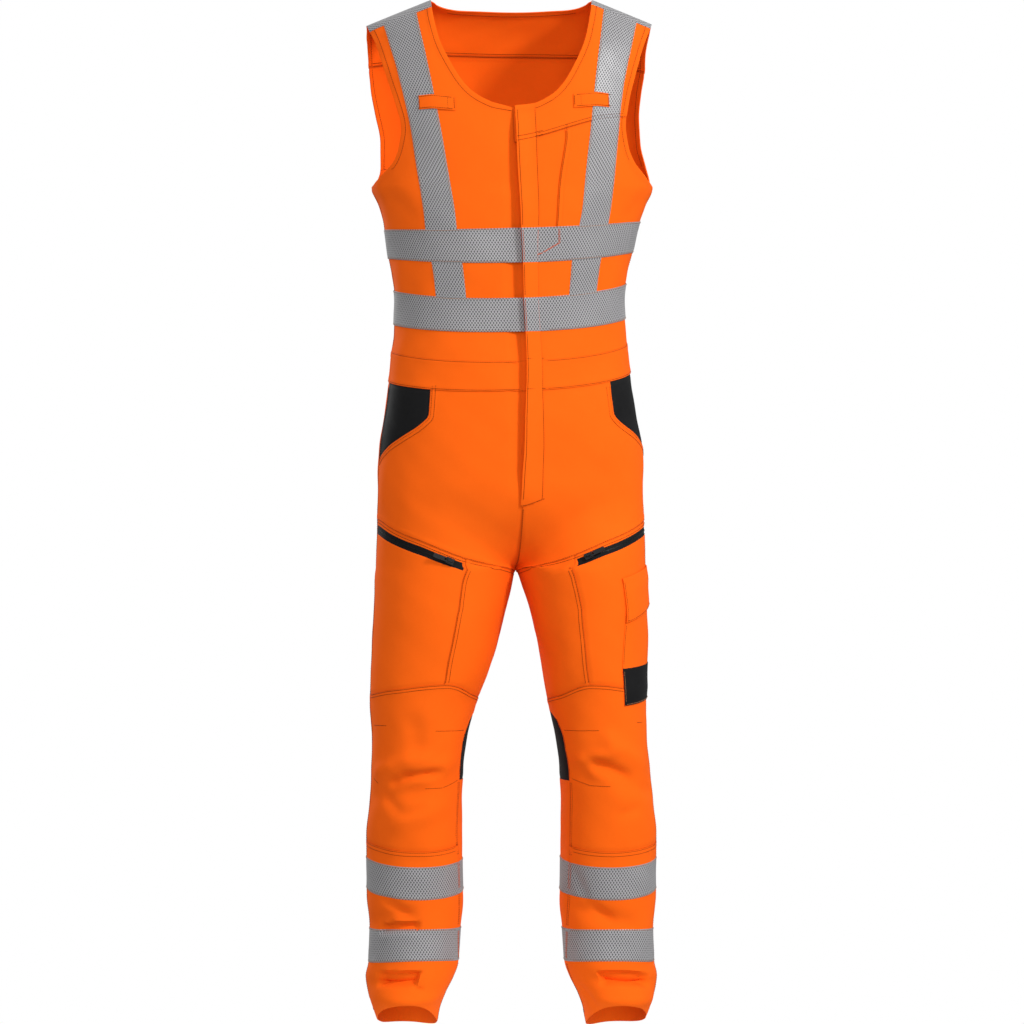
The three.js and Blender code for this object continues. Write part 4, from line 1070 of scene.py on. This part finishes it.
def reflectiveTape():  # bright lines cross on a darker ground
    paint = newPaint("reflective_tape")
    across, up, _ = paint.clothPlace()
    lines = []
    for slope in (1, -1):
        phase = across / tapeFinish["wide"] + up * (slope / tapeFinish["tall"])
        wave = phase.maths("PINGPONG", phase, 0.5) * 2
        lineEnd = tapeFinish["netWidth"]
        lines.append(paint.ramp(wave, [(lineEnd, 1), (lineEnd + tapeFinish["netFade"], 0)]))
    net = lines[0].maths("MAXIMUM", lines[0], lines[1])
    beads = paint.noise(900, 1)
    scuff = paint.ramp(paint.noise(14, 4), [(0.4, 0), (0.66, 1)])
    lit = paint.mixColours(scuff * 0.3, tapeFinish["net"], tapeFinish["netWorn"])
    colour = paint.mixColours(net, tapeFinish["ground"], lit)
    return paint.surface(colour, 0.5 - net * 0.15, 0.35, paint.bump(net * 0.7 + beads * 0.3, 0.00012, 0.6))


def threadFinish(name, colour, dark):
    paint = newPaint(name)
    run, _, _ = paint.clothPlace()
    twist = paint.sine(run * 2.4) * 0.5 + 0.5
    fibre = paint.noise(1400, 2)
    shade = paint.mixColours(twist * 0.5 + fibre * 0.5, dark, colour)
    return paint.surface(shade, 0.8, 0.1, paint.bump(fibre, 0.0001, 0.4))


def hardwareFinish():
    paint = newPaint("zip_hardware")
    wear = paint.ramp(paint.noise(420, 4), [(0.5, 0), (0.72, 1)])
    colour = paint.mixColours(wear * 0.4, rgb(0.006, 0.006, 0.007), rgb(0.02, 0.02, 0.021))
    return paint.surface(colour, wear * 0.15 + 0.45, 0.25, paint.bump(wear, 0.00005, 0.3))


tapeCloth = reflectiveTape()
# Painted shade: these stitches are real thread, orange in itself, coloured dark to stand in for the shade down
# in the seams.
seamShadedThread = threadFinish("seam_shaded_thread", rgb(0.13, 0.016, 0.002), rgb(0.07, 0.009, 0.0015))
orangeThread = threadFinish("orange_thread", rgb(0.8, 0.12, 0.012), rgb(0.6, 0.08, 0.01))
tanThread = threadFinish("tan_thread", rgb(0.42, 0.2, 0.1), rgb(0.3, 0.14, 0.07))
zipHardware = hardwareFinish()

print("bodice")
waistToYoke = [waistUpper, upperTapeTop, armpitLevel, armCurveLevel, frontYokeSeam]
neckToShoulder = [neckLevels[0], 1.3, neckLevels[1], 2.2, neckLevels[2], 4, *neckLevels[3:], shoulderTop]
sideOver, sideUnder = [("over", -99, armpitHeight)], [("under", -99, armpitHeight)]
underPlacket = [("under", -99, neckWay)]
placket = {
    "width": 29,
    "lip": curvePairs((760, 1.2), (800, 4), (880, 6), (960, 7), (1060, 8), (1180, 9), (1260, 8), (1310, 3)),
    "valley": -5,
    "lift": 0.9,
    "thick": 1.1,
    "tapeLift": 1.45,
    "face": 1.0,  # where stitches lie on it
}


def besidePlacket(turn, way, distances):  # the fronts sink a little where the placket stands over them
    hollow = placket["valley"] * smooth(way, 770, 830) * (1 - smooth(way, 1270, 1310))
    return hollow * (1 - smooth(distances["start"], 2, 24))


frontLines = {name: [openingEdge, braceInner[name], frontSide[name]] for name in ("left", "right")}
addCloth("front_bodice_right", -1, frontLines["right"], waistToYoke + neckToShoulder, orangeCloth,
         {"start": underPlacket, "end": sideOver}, opens=("neckRight", "armFrontRight"), relief=besidePlacket)
addCloth("front_bodice_left", 1, frontLines["left"], waistToYoke, orangeCloth,
         {"start": "under", "end": sideOver, "high": "under"}, opens=("armFrontLeft",), relief=besidePlacket)
addCloth("front_yoke_left", 1, frontLines["left"], [frontYokeSeam] + neckToShoulder, orangeCloth,
         {"low": "over", "start": underPlacket}, opens=("neckLeft", "armFrontLeft"))
addCloth("back_bodice", 1, [backSide, backCentre, farBackSide],
         [waistUpper, upperTapeTop, armpitLevel, armCurveLevel, backYokeSeam], orangeCloth,
         {"start": sideUnder, "end": sideUnder, "high": "under"}, guess=1,
         opens=("armBackLeft", "armBackRight"))
addCloth("back_yoke", 1, [backSide, onBack(neckEndLine), backCentre, onFarBack(neckEndLine), farBackSide],
         [backYokeSeam, yokeFold, 4, backNeck], orangeCloth, {"low": "over"}, guess=1,
         opens=("neckBack", "armBackLeft", "armBackRight"), hangs="front_bodice_right")

# Waistband.
waist = [waistLower, waistUpper]
waistEdges = {"low": "over", "high": "over", "start": "under"}
for name, side in (("right", -1), ("left", 1)):
    addCloth("waistband_front_" + name, side, [centre, sideSeam], waist, orangeCloth,
             {**waistEdges, "end": "over"}, relief=besidePlacket, hangs="front_bodice_" + name)
addCloth("waistband_back", 1, [sideSeam, backCentre, atTurn(1.5)], waist, orangeCloth,
         {**waistEdges, "end": "under"}, guess=1, hangs="back_bodice")

print("hips and legs")
zipSlot = {
    "deep": -1.3,
    "margin": 1.2,  # fine cells on both sides of the slot's edges
}


def underZip(turn, way, distances):  # the cloth sinks under the zip's tape
    top, bottom = zipTop(turn), zipBottom(turn)
    across = smooth(way, bottom - 0.4, bottom + 0.5) * (1 - smooth(way, top - 0.5, top + 0.4))
    return zipSlot["deep"] * across * smooth(distances["start"], 2, 4)


thighLevels = [kneeSeam]
for level in (zipBottom, zipTop):
    thighLevels += [raised(level, -zipSlot["margin"]), 0.6, raised(level, zipSlot["margin"])]
thighLevels.append(thighSeam)
kneeLevels = [kneeBottomSeam, atWay(gussetBottom), atWay(gussetTop), 1, atWay(gussetTop + 1), kneeSeam]
shinLevels = [hemLevel, 2.8, legTapes["lower"][0], legTapes["upper"][1], kneeBottomSeam]
backLegLevels = [hemLevel, 4.5, legTapes["upper"][1], kneeBottomSeam, atWay(gussetBottom - 1), 1,
                 *kneeLevels[1:], thighSeam, flyEnd, hipLevel, waistLower]
hipLevels = [raised(thighSeam, 0.3), flyEnd, hipLevel, pocketTip, pocketCorner, waistLower]
for name, side in (("right", -1), ("left", 1)):
    hip = "hip_front_" + name
    belowFly = ("over" if side > 0 else "under", -99, 768)
    addCloth(hip, side, [centre, thighSplit, hipMiddle, hipPocketEdge], hipLevels, orangeCloth,
             {"low": "over", "high": "under", "end": "over", "start": [("under", 768, 999), belowFly]},
             relief=besidePlacket, hangs="waistband_front_" + name)
    addCloth("hip_pocket_" + name, side, [hipPocketEdge, sideSeam], [pocketTip, pocketCorner, waistLower],
             blackCloth, {"start": "under", "high": "under", "end": "over"}, guess=0.4, lift=-0.7,
             hangs="waistband_front_" + name)
    addCloth("thigh_inner_" + name, side, [centre, thighSplit], [kneeSeam, thighSeam], orangeCloth,
             {"start": "over", "end": "over", "low": "under", "high": "under"}, hangs=hip)
    addCloth("thigh_outer_" + name, side, [thighSplit, sideSeam], thighLevels, orangeCloth,
             {"start": "under", "end": "over", "low": "under", "high": "under"}, guess=0.4, relief=underZip,
             hangs=hip)
    addCloth("knee_" + name, side, [frontInseam, thighSplit, sideSeam], kneeLevels, orangeCloth,
             {"start": "over", "end": "over", "low": "under", "high": "over"}, size=fineCells,
             hangs="thigh_outer_" + name)
    addCloth("knee_gusset_" + name, side, [gussetBehind, centre, frontInseam],
             [atWay(gussetBottom), atWay(gussetTop)], blackCloth,
             {"start": "under", "end": "under", "low": "under"},
             guess=0, size=3, lift=-0.3, fine=False, hangs="knee_" + name)
    addCloth("shin_" + name, side, [frontInseam, sideSeam], shinLevels, orangeCloth,
             {"start": "over", "end": "over", "high": "over", "low": "free"}, size=fineCells,
             hangs="knee_" + name)
    addCloth("back_leg_" + name, side, [sideSeam, atTurn(0.75), backInseam], backLegLevels, orangeCloth,
             {"start": "under", "end": "under", "high": "under", "low": "free"}, guess=0.7,
             hangs="waistband_back")

print("tapes and pockets")
tape = {
    "thick": 0.45,
    "onCloth": 0.7,
    "onTape": 1.35,
    "onShoulder": 0.9,
    "sewn": 0.12,  # how far its stitches stand off it
    "sewnIn": 1.6,
}
ends, rims = {"start": "free", "end": "free"}, {"low": "free", "high": "free"}
allFree = {**ends, **rims}
chestTapes = {"upper": [upperTapeBottom, upperTapeTop], "lower": [lowerTapeBottom, lowerTapeTop]}
shoulderLines = {
    "left": [overTop(backSide, onBack(armFront["left"])), onBack(braceOuter["left"]),
             onBack(braceInner["left"]), overTop(onBack(neckEndLine), onBack(neckFront))],
    "right": [overTop(onFarBack(neckEndLine), onFarBack(neckFront)), onFarBack(braceInner["right"]),
              onFarBack(braceOuter["right"]), overTop(farBackSide, onFarBack(armFront["right"]))],
}


def addTape(node, side, lines, levels, edges, hangs, lift=tape["onCloth"], **more):
    addCloth(node, side, lines, levels, tapeCloth, edges, lift=lift, thick=tape["thick"], hangs=hangs, **more)


for name, side in (("right", -1), ("left", 1)):
    frontEnd, backEnd = atWay(shoulderTapeFront[name]), atWay(shoulderTapeBack[name])
    addTape("brace_tape_front_" + name, side, [braceInner[name], braceOuter[name]],
            [lowerTapeTop, upperTapeTop, frontYokeSeam, neckLevels[2], frontEnd], ends, "front_bodice_" + name)
    addTape("brace_tape_back_" + name, 1, shoulderLines[name][1:3],
            [lowerTapeTop, upperTapeTop, backYokeSeam, backEnd], ends, "back_bodice", guess=1)
    addTape("shoulder_tape_" + name, 1, shoulderLines[name], [backEnd, shoulderTop, pastTop(frontEnd)], rims,
            "back_yoke", tape["onShoulder"], guess=1, size=4)
    for place, levels in legTapes.items():
        addTape(f"leg_tape_{place}_{name}", side, [frontInseam, sideSeam, cargoBack, nextTurn(frontInseam)],
                levels, rims, "shin_" + name, guess=0.5, size=fineCells)
roundBody = [placketStitch, frontSide["left"], backCentre, farBackSide,
             lambda way, turn, side=1: 2 + placketEdge(way, turn - 2)]
for place, levels in chestTapes.items():
    addTape("chest_tape_" + place, 1, roundBody, levels, rims, "front_bodice_left", tape["onTape"], guess=1)


# Placket.
def placketLip(turn, way, distances):  # its free edge stands away from the front
    return placket["lip"](way) * (1 - smooth(distances["start"], 0, placket["width"] * 0.95))


placketLines = [placketEdge, placketStitch]
addCloth("placket", 1, placketLines,
         [placketFoot, hipLevel, pocketTip, waistLower, waistUpper, upperTapeTop, frontYokeSeam, neckLevels[0]],
         orangeCloth, {"start": "free", "low": "free"}, guess=0, size=5, lift=placket["lift"],
         thick=placket["thick"], relief=placketLip, fine=False, opens=("neckLeft",), hangs="front_bodice_left")
for place, levels in chestTapes.items():
    addTape("placket_tape_" + place, 1, placketLines, levels, allFree, "placket", placket["tapeLift"], guess=0,
            size=4, relief=placketLip, fine=False)

# Radio loops.
loop = {
    "inner": acrossAlways(86),
    "outer": acrossAlways(138),
    "bottom": levelOfTurns((0.1, 1302), (0.22, 1308)),
    "top": levelOfTurns((0.1, 1319), (0.22, 1326)),
    "rise": {"right": 0, "left": 4},
    "lift": 1.9,
    "thick": 1.2,
    "arch": 0.8,
}


def loopArch(turn, way, distances):
    whole = distances["start"] + distances["end"]
    share = np.clip(distances["start"] / whole, 0, 1)
    return loop["arch"] * smooth(share, 0.02, 0.35) * (1 - smooth(share, 0.6, 0.98))


for name, side in (("right", -1), ("left", 1)):
    rise = loop["rise"][name]
    addCloth("radio_loop_" + name, side, [loop["inner"], loop["outer"]],
             [raised(loop["bottom"], rise), raised(loop["top"], rise)], orangeCloth, allFree, size=2.2,
             lift=loop["lift"], thick=loop["thick"], relief=loopArch, fine=False,
             hangs="brace_tape_front_" + name)
    for level, inward in ((loop["bottom"], 1.6), (loop["top"], -1.6)):
        sew("dark", side, *levelRun(raised(level, rise + inward), 0.1185, 0.2115, 60),
            lift=loop["lift"] + loop["arch"] * 0.9)
    for line, inward in ((loop["inner"], 0.002), (loop["inner"], 0.017), (loop["outer"], -0.0022)):
        turn, way = lineRun(line, loop["bottom"](0.12) + rise + 2, loop["top"](0.12) + rise - 1, 0.15, 30)
        sew("dark", side, turn + inward, way + 30 * (turn - 0.12), lift=loop["lift"] + 0.3)

# Chest pocket.
welt = {
    "rows": ((1150, 54.5), (1209, 57.5), (1299, 72.5)),
    "width": 7,
    "sewnIn": 1.2,
    "lift": 1.5,
    "thick": 1.3,
    "rise": 0.9,
}


def besideSlit(distance):
    return acrossLine(*[(height, across + distance) for height, across in welt["rows"]])


def weltRise(turn, way, distances):
    return welt["rise"] * (1 - smooth(distances["start"], 0, 5))


addCloth("chest_pocket_welt", 1, [besideSlit(0), besideSlit(welt["width"])],
         [raised(upperTapeTop, 0.5), armpitLevel, armCurveLevel, raised(frontYokeSeam, -2)], orangeCloth,
         allFree, size=2.5, lift=welt["lift"], thick=welt["thick"], fine=False, relief=weltRise,
         hangs="front_bodice_left")


# Cargo pocket.
def cargoLevel(front, side, back):
    return levelOfTurns((0.325, front), (0.5, side), (0.6, back))


cargo = {
    "lines": [cargoFront, sideSeam, cargoBack],
    "flapTop": cargoLevel(655, 675, 679),
    "flapBottom": cargoLevel(594, 622, 626),
    "patchTop": cargoLevel(528, 536, 540),
    "bottom": cargoLevel(473, 482, 486),
    "swell": 2.2,
    "flapStands": 1.8,
    "sewn": (1.8,),
}


def cargoSwell(distances, low=0, high=0):
    across = smooth(distances["start"], 0, 16) * smooth(distances["end"], 0, 16)
    return (cargo["swell"] * across * smooth(distances["low"] + low, 0, 20)
            * smooth(distances["high"] + high, 0, 24))


def pocketRelief(turn, way, distances):
    return cargoSwell(distances)


def flapRelief(turn, way, distances):  # the flap's lower edge stands off the pocket
    standing = (1 - smooth(distances["low"], 0, 34)) * smooth(distances["end"], 0, 40)
    return cargoSwell(distances, low=90) + (0.4 + cargo["flapStands"] * standing)


def patchRelief(turn, way, distances):
    return cargoSwell(distances, high=100)


for part, finish, levels, size, lift, thick, relief, hangs in (
        ("pocket", orangeCloth, [cargo["bottom"], cargo["flapTop"]], 5, 1.1, 1.0, pocketRelief,
         "thigh_outer_left"),
        ("flap", orangeCloth, [cargo["flapBottom"], raised(cargo["flapTop"], 2)], 4, 2.4, 1.5, flapRelief,
         "cargo_pocket"),
        ("patch", blackCloth, [raised(cargo["bottom"], 1), cargo["patchTop"]], 4, 2.0, 0.9, patchRelief,
         "cargo_pocket")):
    addCloth("cargo_" + part, 1, cargo["lines"], levels, finish, allFree, guess=0.4, size=size, lift=lift,
             thick=thick, relief=relief, hangs=hangs)
run = lineRun(cargoFront, 596, 653, 0.33, 60)
sewEdge("dark", 1, *run, (0.45, 620), cargo["sewn"],
        2.95 + cargo["flapStands"] * (1 - smooth(run[1], 594, 628)))
run = levelRun(cargo["flapBottom"], 0.333, 0.57, 90)
sewEdge("dark", 1, *run, (0.45, 650), cargo["sewn"], 4.6 + cargo["swell"] * smooth(run[0], 0.328, 0.362))
sewEdge("dark", 1, *lineRun(cargoFront, 533, 592, 0.32, 60), (0.45, 560), cargo["sewn"], 1.2)
sewEdge("tan", 1, *lineRun(cargoFront, 479, 524, 0.32, 60), (0.45, 500), cargo["sewn"], 2.15)
run = levelRun(cargo["bottom"], 0.318, 0.57, 90)
sewEdge("tan", 1, *run, (0.45, 520), (2.8,), 2.2 + 0.12 * smooth(run[0], 0.32, 0.35))

print("zips")
zipTape = {
    "lift": -0.55,
    "thick": 0.7,
    "spare": 0.5,  # how far it goes on under the cloth
    "bevel": 0.00025,
}
tooth = {
    "pitch": 1.5,
    "length": 0.95,
    "width": 2.3,
    "height": 0.7,
    "sunk": -0.1,
    "narrowing": 0.72,
}
boxQuads = np.array([(0, 3, 2, 1), (4, 5, 6, 7), (0, 1, 5, 4), (1, 2, 6, 5), (2, 3, 7, 6), (3, 0, 4, 7)])


def addTeeth(name, side):
    points, outward, _, _ = clothAt(side, *levelRun(zipMiddle, 0.262, 0.497, 240))
    points = points + outward * zipTape["lift"]
    gone = gonePast(points)
    places = np.arange(0.5, gone[-1] - 0.5, tooth["pitch"])
    at, out = placedAt(places, gone, points), placedAt(places, gone, outward)
    forward = np.gradient(at, axis=0)
    forward /= np.linalg.norm(forward, axis=-1, keepdims=True)
    aside = np.cross(out, forward)
    corners = []
    for height, narrow in ((tooth["sunk"], 1), (tooth["height"], tooth["narrowing"])):
        half, halfWide = tooth["length"] / 2 * narrow, tooth["width"] / 2 * narrow
        for a, b in ((-1, -1), (1, -1), (1, 1), (-1, 1)):
            corners.append(at + forward * a * half + aside * b * halfWide + out * height)
    quads = (np.arange(len(places))[:, None, None] * 8 + boxQuads[None]).reshape(-1, 4)
    places = np.repeat(places, 8)
    thing = meshFrom("zip_teeth_" + name, np.stack(corners, 1).reshape(-1, 3), quads,
                     np.stack([places, places, np.full(places.shape, 9.0)], -1), zipHardware)


def addHardware(node, body):  # the cast piece, its edges softened
    part = frame["nodes"][node]
    mesh = part.data.copy()
    mesh.transform(part.matrix_world)
    mesh.materials.clear()
    mesh.materials.append(zipHardware)
    thing = linked(node, mesh)
    bevel = thing.modifiers.new("soft_edges", "BEVEL")
    bevel.width, bevel.segments, bevel.limit_method = zipTape["bevel"], 2, "ANGLE"
    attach(thing, body)
    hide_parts(node)


for name, side in (("right", -1), ("left", 1)):
    addCloth("thigh_zip_" + name, side, [zipStart, sideSeam],
             [raised(zipBottom, -zipTape["spare"]), raised(zipTop, zipTape["spare"])], blackCloth, {},
             guess=0.4, size=3, lift=zipTape["lift"], thick=zipTape["thick"], fine=False,
             hangs="thigh_outer_" + name)
    addTeeth(name, side)
    addHardware("zip_slider_" + name, "garment")
    addHardware("zip_pull_" + name, "pull_" + name)

print("sewing")
# Where each open edge's band is stitched, by way but by turn on the back's neck, and a place towards it.
bands = {
    "neckRight": (0, 1558, (0.2, 1290)),
    "neckLeft": (0, 1562, (0.2, 1290)),
    "neckBack": (0.872, 1.128, (1, 1400)),
    "armFrontRight": (1246, 1556, (0.1, 1290)),
    "armFrontLeft": (1252, 1564, (0.1, 1290)),
    "armBackLeft": (1258, 1560, (1, 1400)),
    "armBackRight": (1250, 1560, (1, 1400)),
}
for name, (low, high, toward) in bands.items():
    side, *places = openEdges[name]
    turn, way = insetPlaces(side, *places, hem["sewn"], toward)
    count = turn if name == "neckBack" else way
    keep = (count > low) & (count < high)
    sew("dark", side, turn[keep], way[keep], lift=hem["over"])
    if "Back" in name:
        sew("dark", side, turn[keep], way[keep], inside=True)
sewEdge("dark", 1, *levelRun(frontYokeSeam, 0.036, 0.262), (0.15, 1400), (1.2, 5.4), thread["onEdge"])
yokeEnds = [lineCurve(line, np.array([1400.0]), guess)[0][0] + inward
            for line, guess, inward in ((backSide, 0.6, 0.025), (farBackSide, 1.4, -0.025))]
for inside, lift in ((False, thread["onSeam"]), (True, 0)):
    for inset in wall["seamRows"]:
        places = insetPlaces(1, *levelRun(backYokeSeam, *yokeEnds, 240), inset, (1, 1500))
        sew("dark", 1, *places, lift=lift, inside=inside)


def sewPlacket(colour, turn, way, extra=0.0):  # on its face, which stands off by more towards the edge
    edge, seam = placketEdge(way, turn), placketStitch(way, turn)
    share = np.clip((turn - edge) / (seam - edge), 0, 1)
    lift = placket["face"] + placket["lip"](way) * (1 - smooth(share, 0, 0.95))
    sew(colour, 1, turn, way, lift=lift + extra)


sewPlacket("dark", *levelRun(raised(placketFoot, 1.5), -0.004, 0.041, 30))
for low, high, colour, extra in ((775, 1016, "dark", 0), (1019, 1066, "orange", 0.6), (1070, 1117, "dark", 0),
                                 (1120, 1167, "orange", 0.6), (1171, 1305, "dark", 0)):
    sewPlacket(colour, *lineRun(placketStitch, low, high, 0.05), extra=extra)
    turn, way = lineRun(placketEdge, low, high - 1, 0.01)
    sewPlacket(colour, turn + 0.0025, way, extra)
for level, rows in ((waistUpper, (2.2,)), (waistLower, (2.2,)), (frontYokeSeam, (1.2, 5.4))):
    for row in rows:
        turn, way = levelRun(level, 0.004, 0.046, 30)
        edge = placketEdge(way, turn)
        turn = edge + (0.046 - edge) * (turn - 0.004) / 0.042
        sewPlacket("dark", turn, level(turn) + row)
for side, low, high, count, middle in (
        (-1, 0.004, 0.5, 200, 0.25), (1, 0.05, 0.5, 200, 0.25), (1, 0.5, 1.5, 300, 1)):
    for level, toward in ((waistUpper, 900), (waistLower, 1000)):
        sewEdge("dark", side, *levelRun(level, low, high, count, side), (middle, toward), (2,))
darts = [  # side, and turn and way of both ends
    (-1, (0.462, 443), (0.381, 444)),
    (-1, (0.221, 437), (0.097, 436)),
    (-1, (0.457, 366), (0.419, 358)),
    (-1, (0.238, 352), (0.171, 353)),
    (-1, (0.171, 353), (0.074, 366)),
    (1, (0.228, 438), (0.088, 437)),
    (1, (0.405, 448), (0.366, 448)),
    (1, (0.087, 367), (0.174, 357)),
    (1, (0.174, 357), (0.242, 356)),
]
for side, start, end in darts:
    sew("dark", side, *np.linspace(start, end, 30).T, lift=0.1)
for side, pocketLow in ((-1, 831), (1, 842)):
    sewEdge("dark", side, *lineRun(hipPocketEdge, pocketLow, 941, 0.3, 120, side), (0.1, 860), (3, 8))
    sewEdge("dark", side, *levelRun(thighSeam, 0.0, 0.5, 200), (0.2, 800), (1.5,))
    sewEdge("dark", side, *levelRun(thighSeam, 0.0, 0.5, 200), (0.2, 500), (3.8,), 0.15)
    sewEdge("dark", side, *lineRun(thighSplit, 507, 674, 0.217, 160, side), (0.1, 600), (1.2, 6),
            thread["onEdge"])
    sewEdge("dark", side, *levelRun(kneeSeam, 0.0, 0.5, 160), (0.25, 400), (1.5, 5.5), thread["onEdge"])
    sewEdge("dark", side, *levelRun(kneeBottomSeam, 0.083, 0.5, 160), (0.25, 200))
    for low, high, colour in ((5, 92, "dark"), (98, 141, "orange"), (148, 196, "dark"), (203, 244, "orange"),
                              (251, 362, "dark")):
        sewEdge(colour, side, *lineRun(frontInseam, low, high, 0.08, 80), (0.3, 200), (2, 6),
                1 if colour == "orange" else thread["onSeam"])
    sewEdge("dark", side, *lineRun(frontInseam, 366, 456, 0.08, 80), (0.3, 400), (2,))
    sewEdge("dark", side, *lineRun(sideSeam, 20, 940, 0.5, 500), (0.3, 400))
    sewEdge("dark", side, *lineRun(sideSeam, 1000, 1230, 0.5, 120), (0.3, 1100))
sewEdge("dark", 1, *lineRun(centre, 682, 762, 0, 60), (0.2, 740), (1.2,), thread["onEdge"])
sewEdge("dark", 1, *lineRun(backCentre, 690, 944, 1, 120), (0.8, 800), (3, 8), 0.1)
sew("dark", 1, *lineRun(besideSlit(welt["sewnIn"]), 1171, 1288, 0.08), lift=2 * welt["lift"])
# The pocket bag's outline shows through the tape and placket.
pocketBag = np.array([(0.084, 1168), (0.089, 1147), (0.05, 1133)])
for offset in (0, 0.0028):
    gaps = np.linspace(0, 2, 60)
    turn, way = [np.interp(gaps, [0, 1, 2], pocketBag[:, k]) for k in (0, 1)]
    sew("orange", 1, turn + offset, way, lift=tape["onTape"] + 0.25)
    sewPlacket("orange", np.linspace(0.049, 0.016, 40) + offset, np.linspace(1132.6, 1123, 40), 0.6)
tapeRows = [(levels, (0.06, 1.985), tape["onTape"], 1) for levels in chestTapes.values()]
tapeRows += [(levels, (0.09, 1.05), tape["onCloth"], side) for levels in legTapes.values() for side in (-1, 1)]
for levels, (start, end), lift, side in tapeRows:
    for level, toward in zip(levels, (1, -1)):
        turn, way = levelRun(level, start, end, 500, side)
        sew("tan", side, turn, way + toward * tape["sewnIn"], lift=lift + tape["sewn"])
for name, side in (("right", -1), ("left", 1)):
    for line, toward in ((braceInner[name], 1), (braceOuter[name], -1)):
        for low, high in ((1092, 1117), (1188, 1500)):
            turn, way = lineRun(line, low, high, 0.2, 120)
            sew("tan", side, turn + toward * 0.0035, way, lift=tape["onCloth"] + tape["sewn"])
for colour, finish in (("dark", seamShadedThread), ("orange", orangeThread), ("tan", tanThread)):
    finishSewing(colour, finish)

print("studio")
studio = {
    "floorDrop": 0.004,
    "floorCorners": ((-30, -12), (30, -12), (30, 40), (-30, 40)),
    "backdrop": 1.0,  # the floor and the world as seen
    "bounce": 0.42,  # and how bright each is to the cloth
    "ambient": 0.68,
}
white = rgb(1, 1, 1)
floorLevel = cadBox[0].z - studio["floorDrop"]
mesh = bpy.data.meshes.new("floor")
mesh.from_pydata([(x, y, floorLevel) for x, y in studio["floorCorners"]], [], [(0, 1, 2, 3)])


def paleBackdrop(owner, shader, toCloth):
    paint = Paint(owner)
    lit, seen = [paint.node(shader, None, {0: white, 1: strength})
                 for strength in (toCloth, studio["backdrop"])]
    toCamera = paint.node("ShaderNodeLightPath")
    return paint, paint.node("ShaderNodeMixShader", None, {0: toCamera, 1: lit, 2: seen})


paint, mixed = paleBackdrop(bpy.data.materials.new("pale_floor"), "ShaderNodeEmission", studio["bounce"])
paint.node("ShaderNodeOutputMaterial", None, {0: mixed})
mesh.materials.append(paint.owner)
linked("floor", mesh)
paint, mixed = paleBackdrop(bpy.data.worlds.new("studio"), "ShaderNodeBackground", studio["ambient"])
paint.node("ShaderNodeOutputWorld", None, {0: mixed})
bpy.context.scene.world = paint.owner

lamps = [  # name, place, size and power
    ("key", (3.35, -2.95, 1.85), 0.9, 160),
    ("fill", (0.3, -5.2, 0.5), 2.0, 63),
    ("under", (0.0, 0.0, floorLevel + 0.003), 0.5, 0.3),
    ("behind", (-2.8, 4.4, 1.5), 1.2, 120),
]
aim = (cadBox[0] + cadBox[1]) / 2
for name, place, size, power in lamps:
    light = bpy.data.lights.new(name, "AREA")
    light.shape, light.size, light.energy = "DISK", size, power
    lamp = linked(name, light)
    lamp.location = place
    lamp.rotation_euler = (aim - Vector(place)).to_track_quat("-Z", "Y").to_euler()

view = {
    "place": (0.001, -5.5, -0.7247),
    "lens": 130.6,
    "sensor": 36,
}
camera = linked("camera", bpy.data.cameras.new("camera"))
camera.location = view["place"]
camera.rotation_euler = (math.radians(90), 0, 0)
camera.data.lens, camera.data.sensor_width = view["lens"], view["sensor"]
bpy.context.scene.camera = camera
bpy.context.scene.view_settings.view_transform = "Standard"

print("triangles", sum(len(thing.data.polygons) for thing in pieces.values()) * 2)
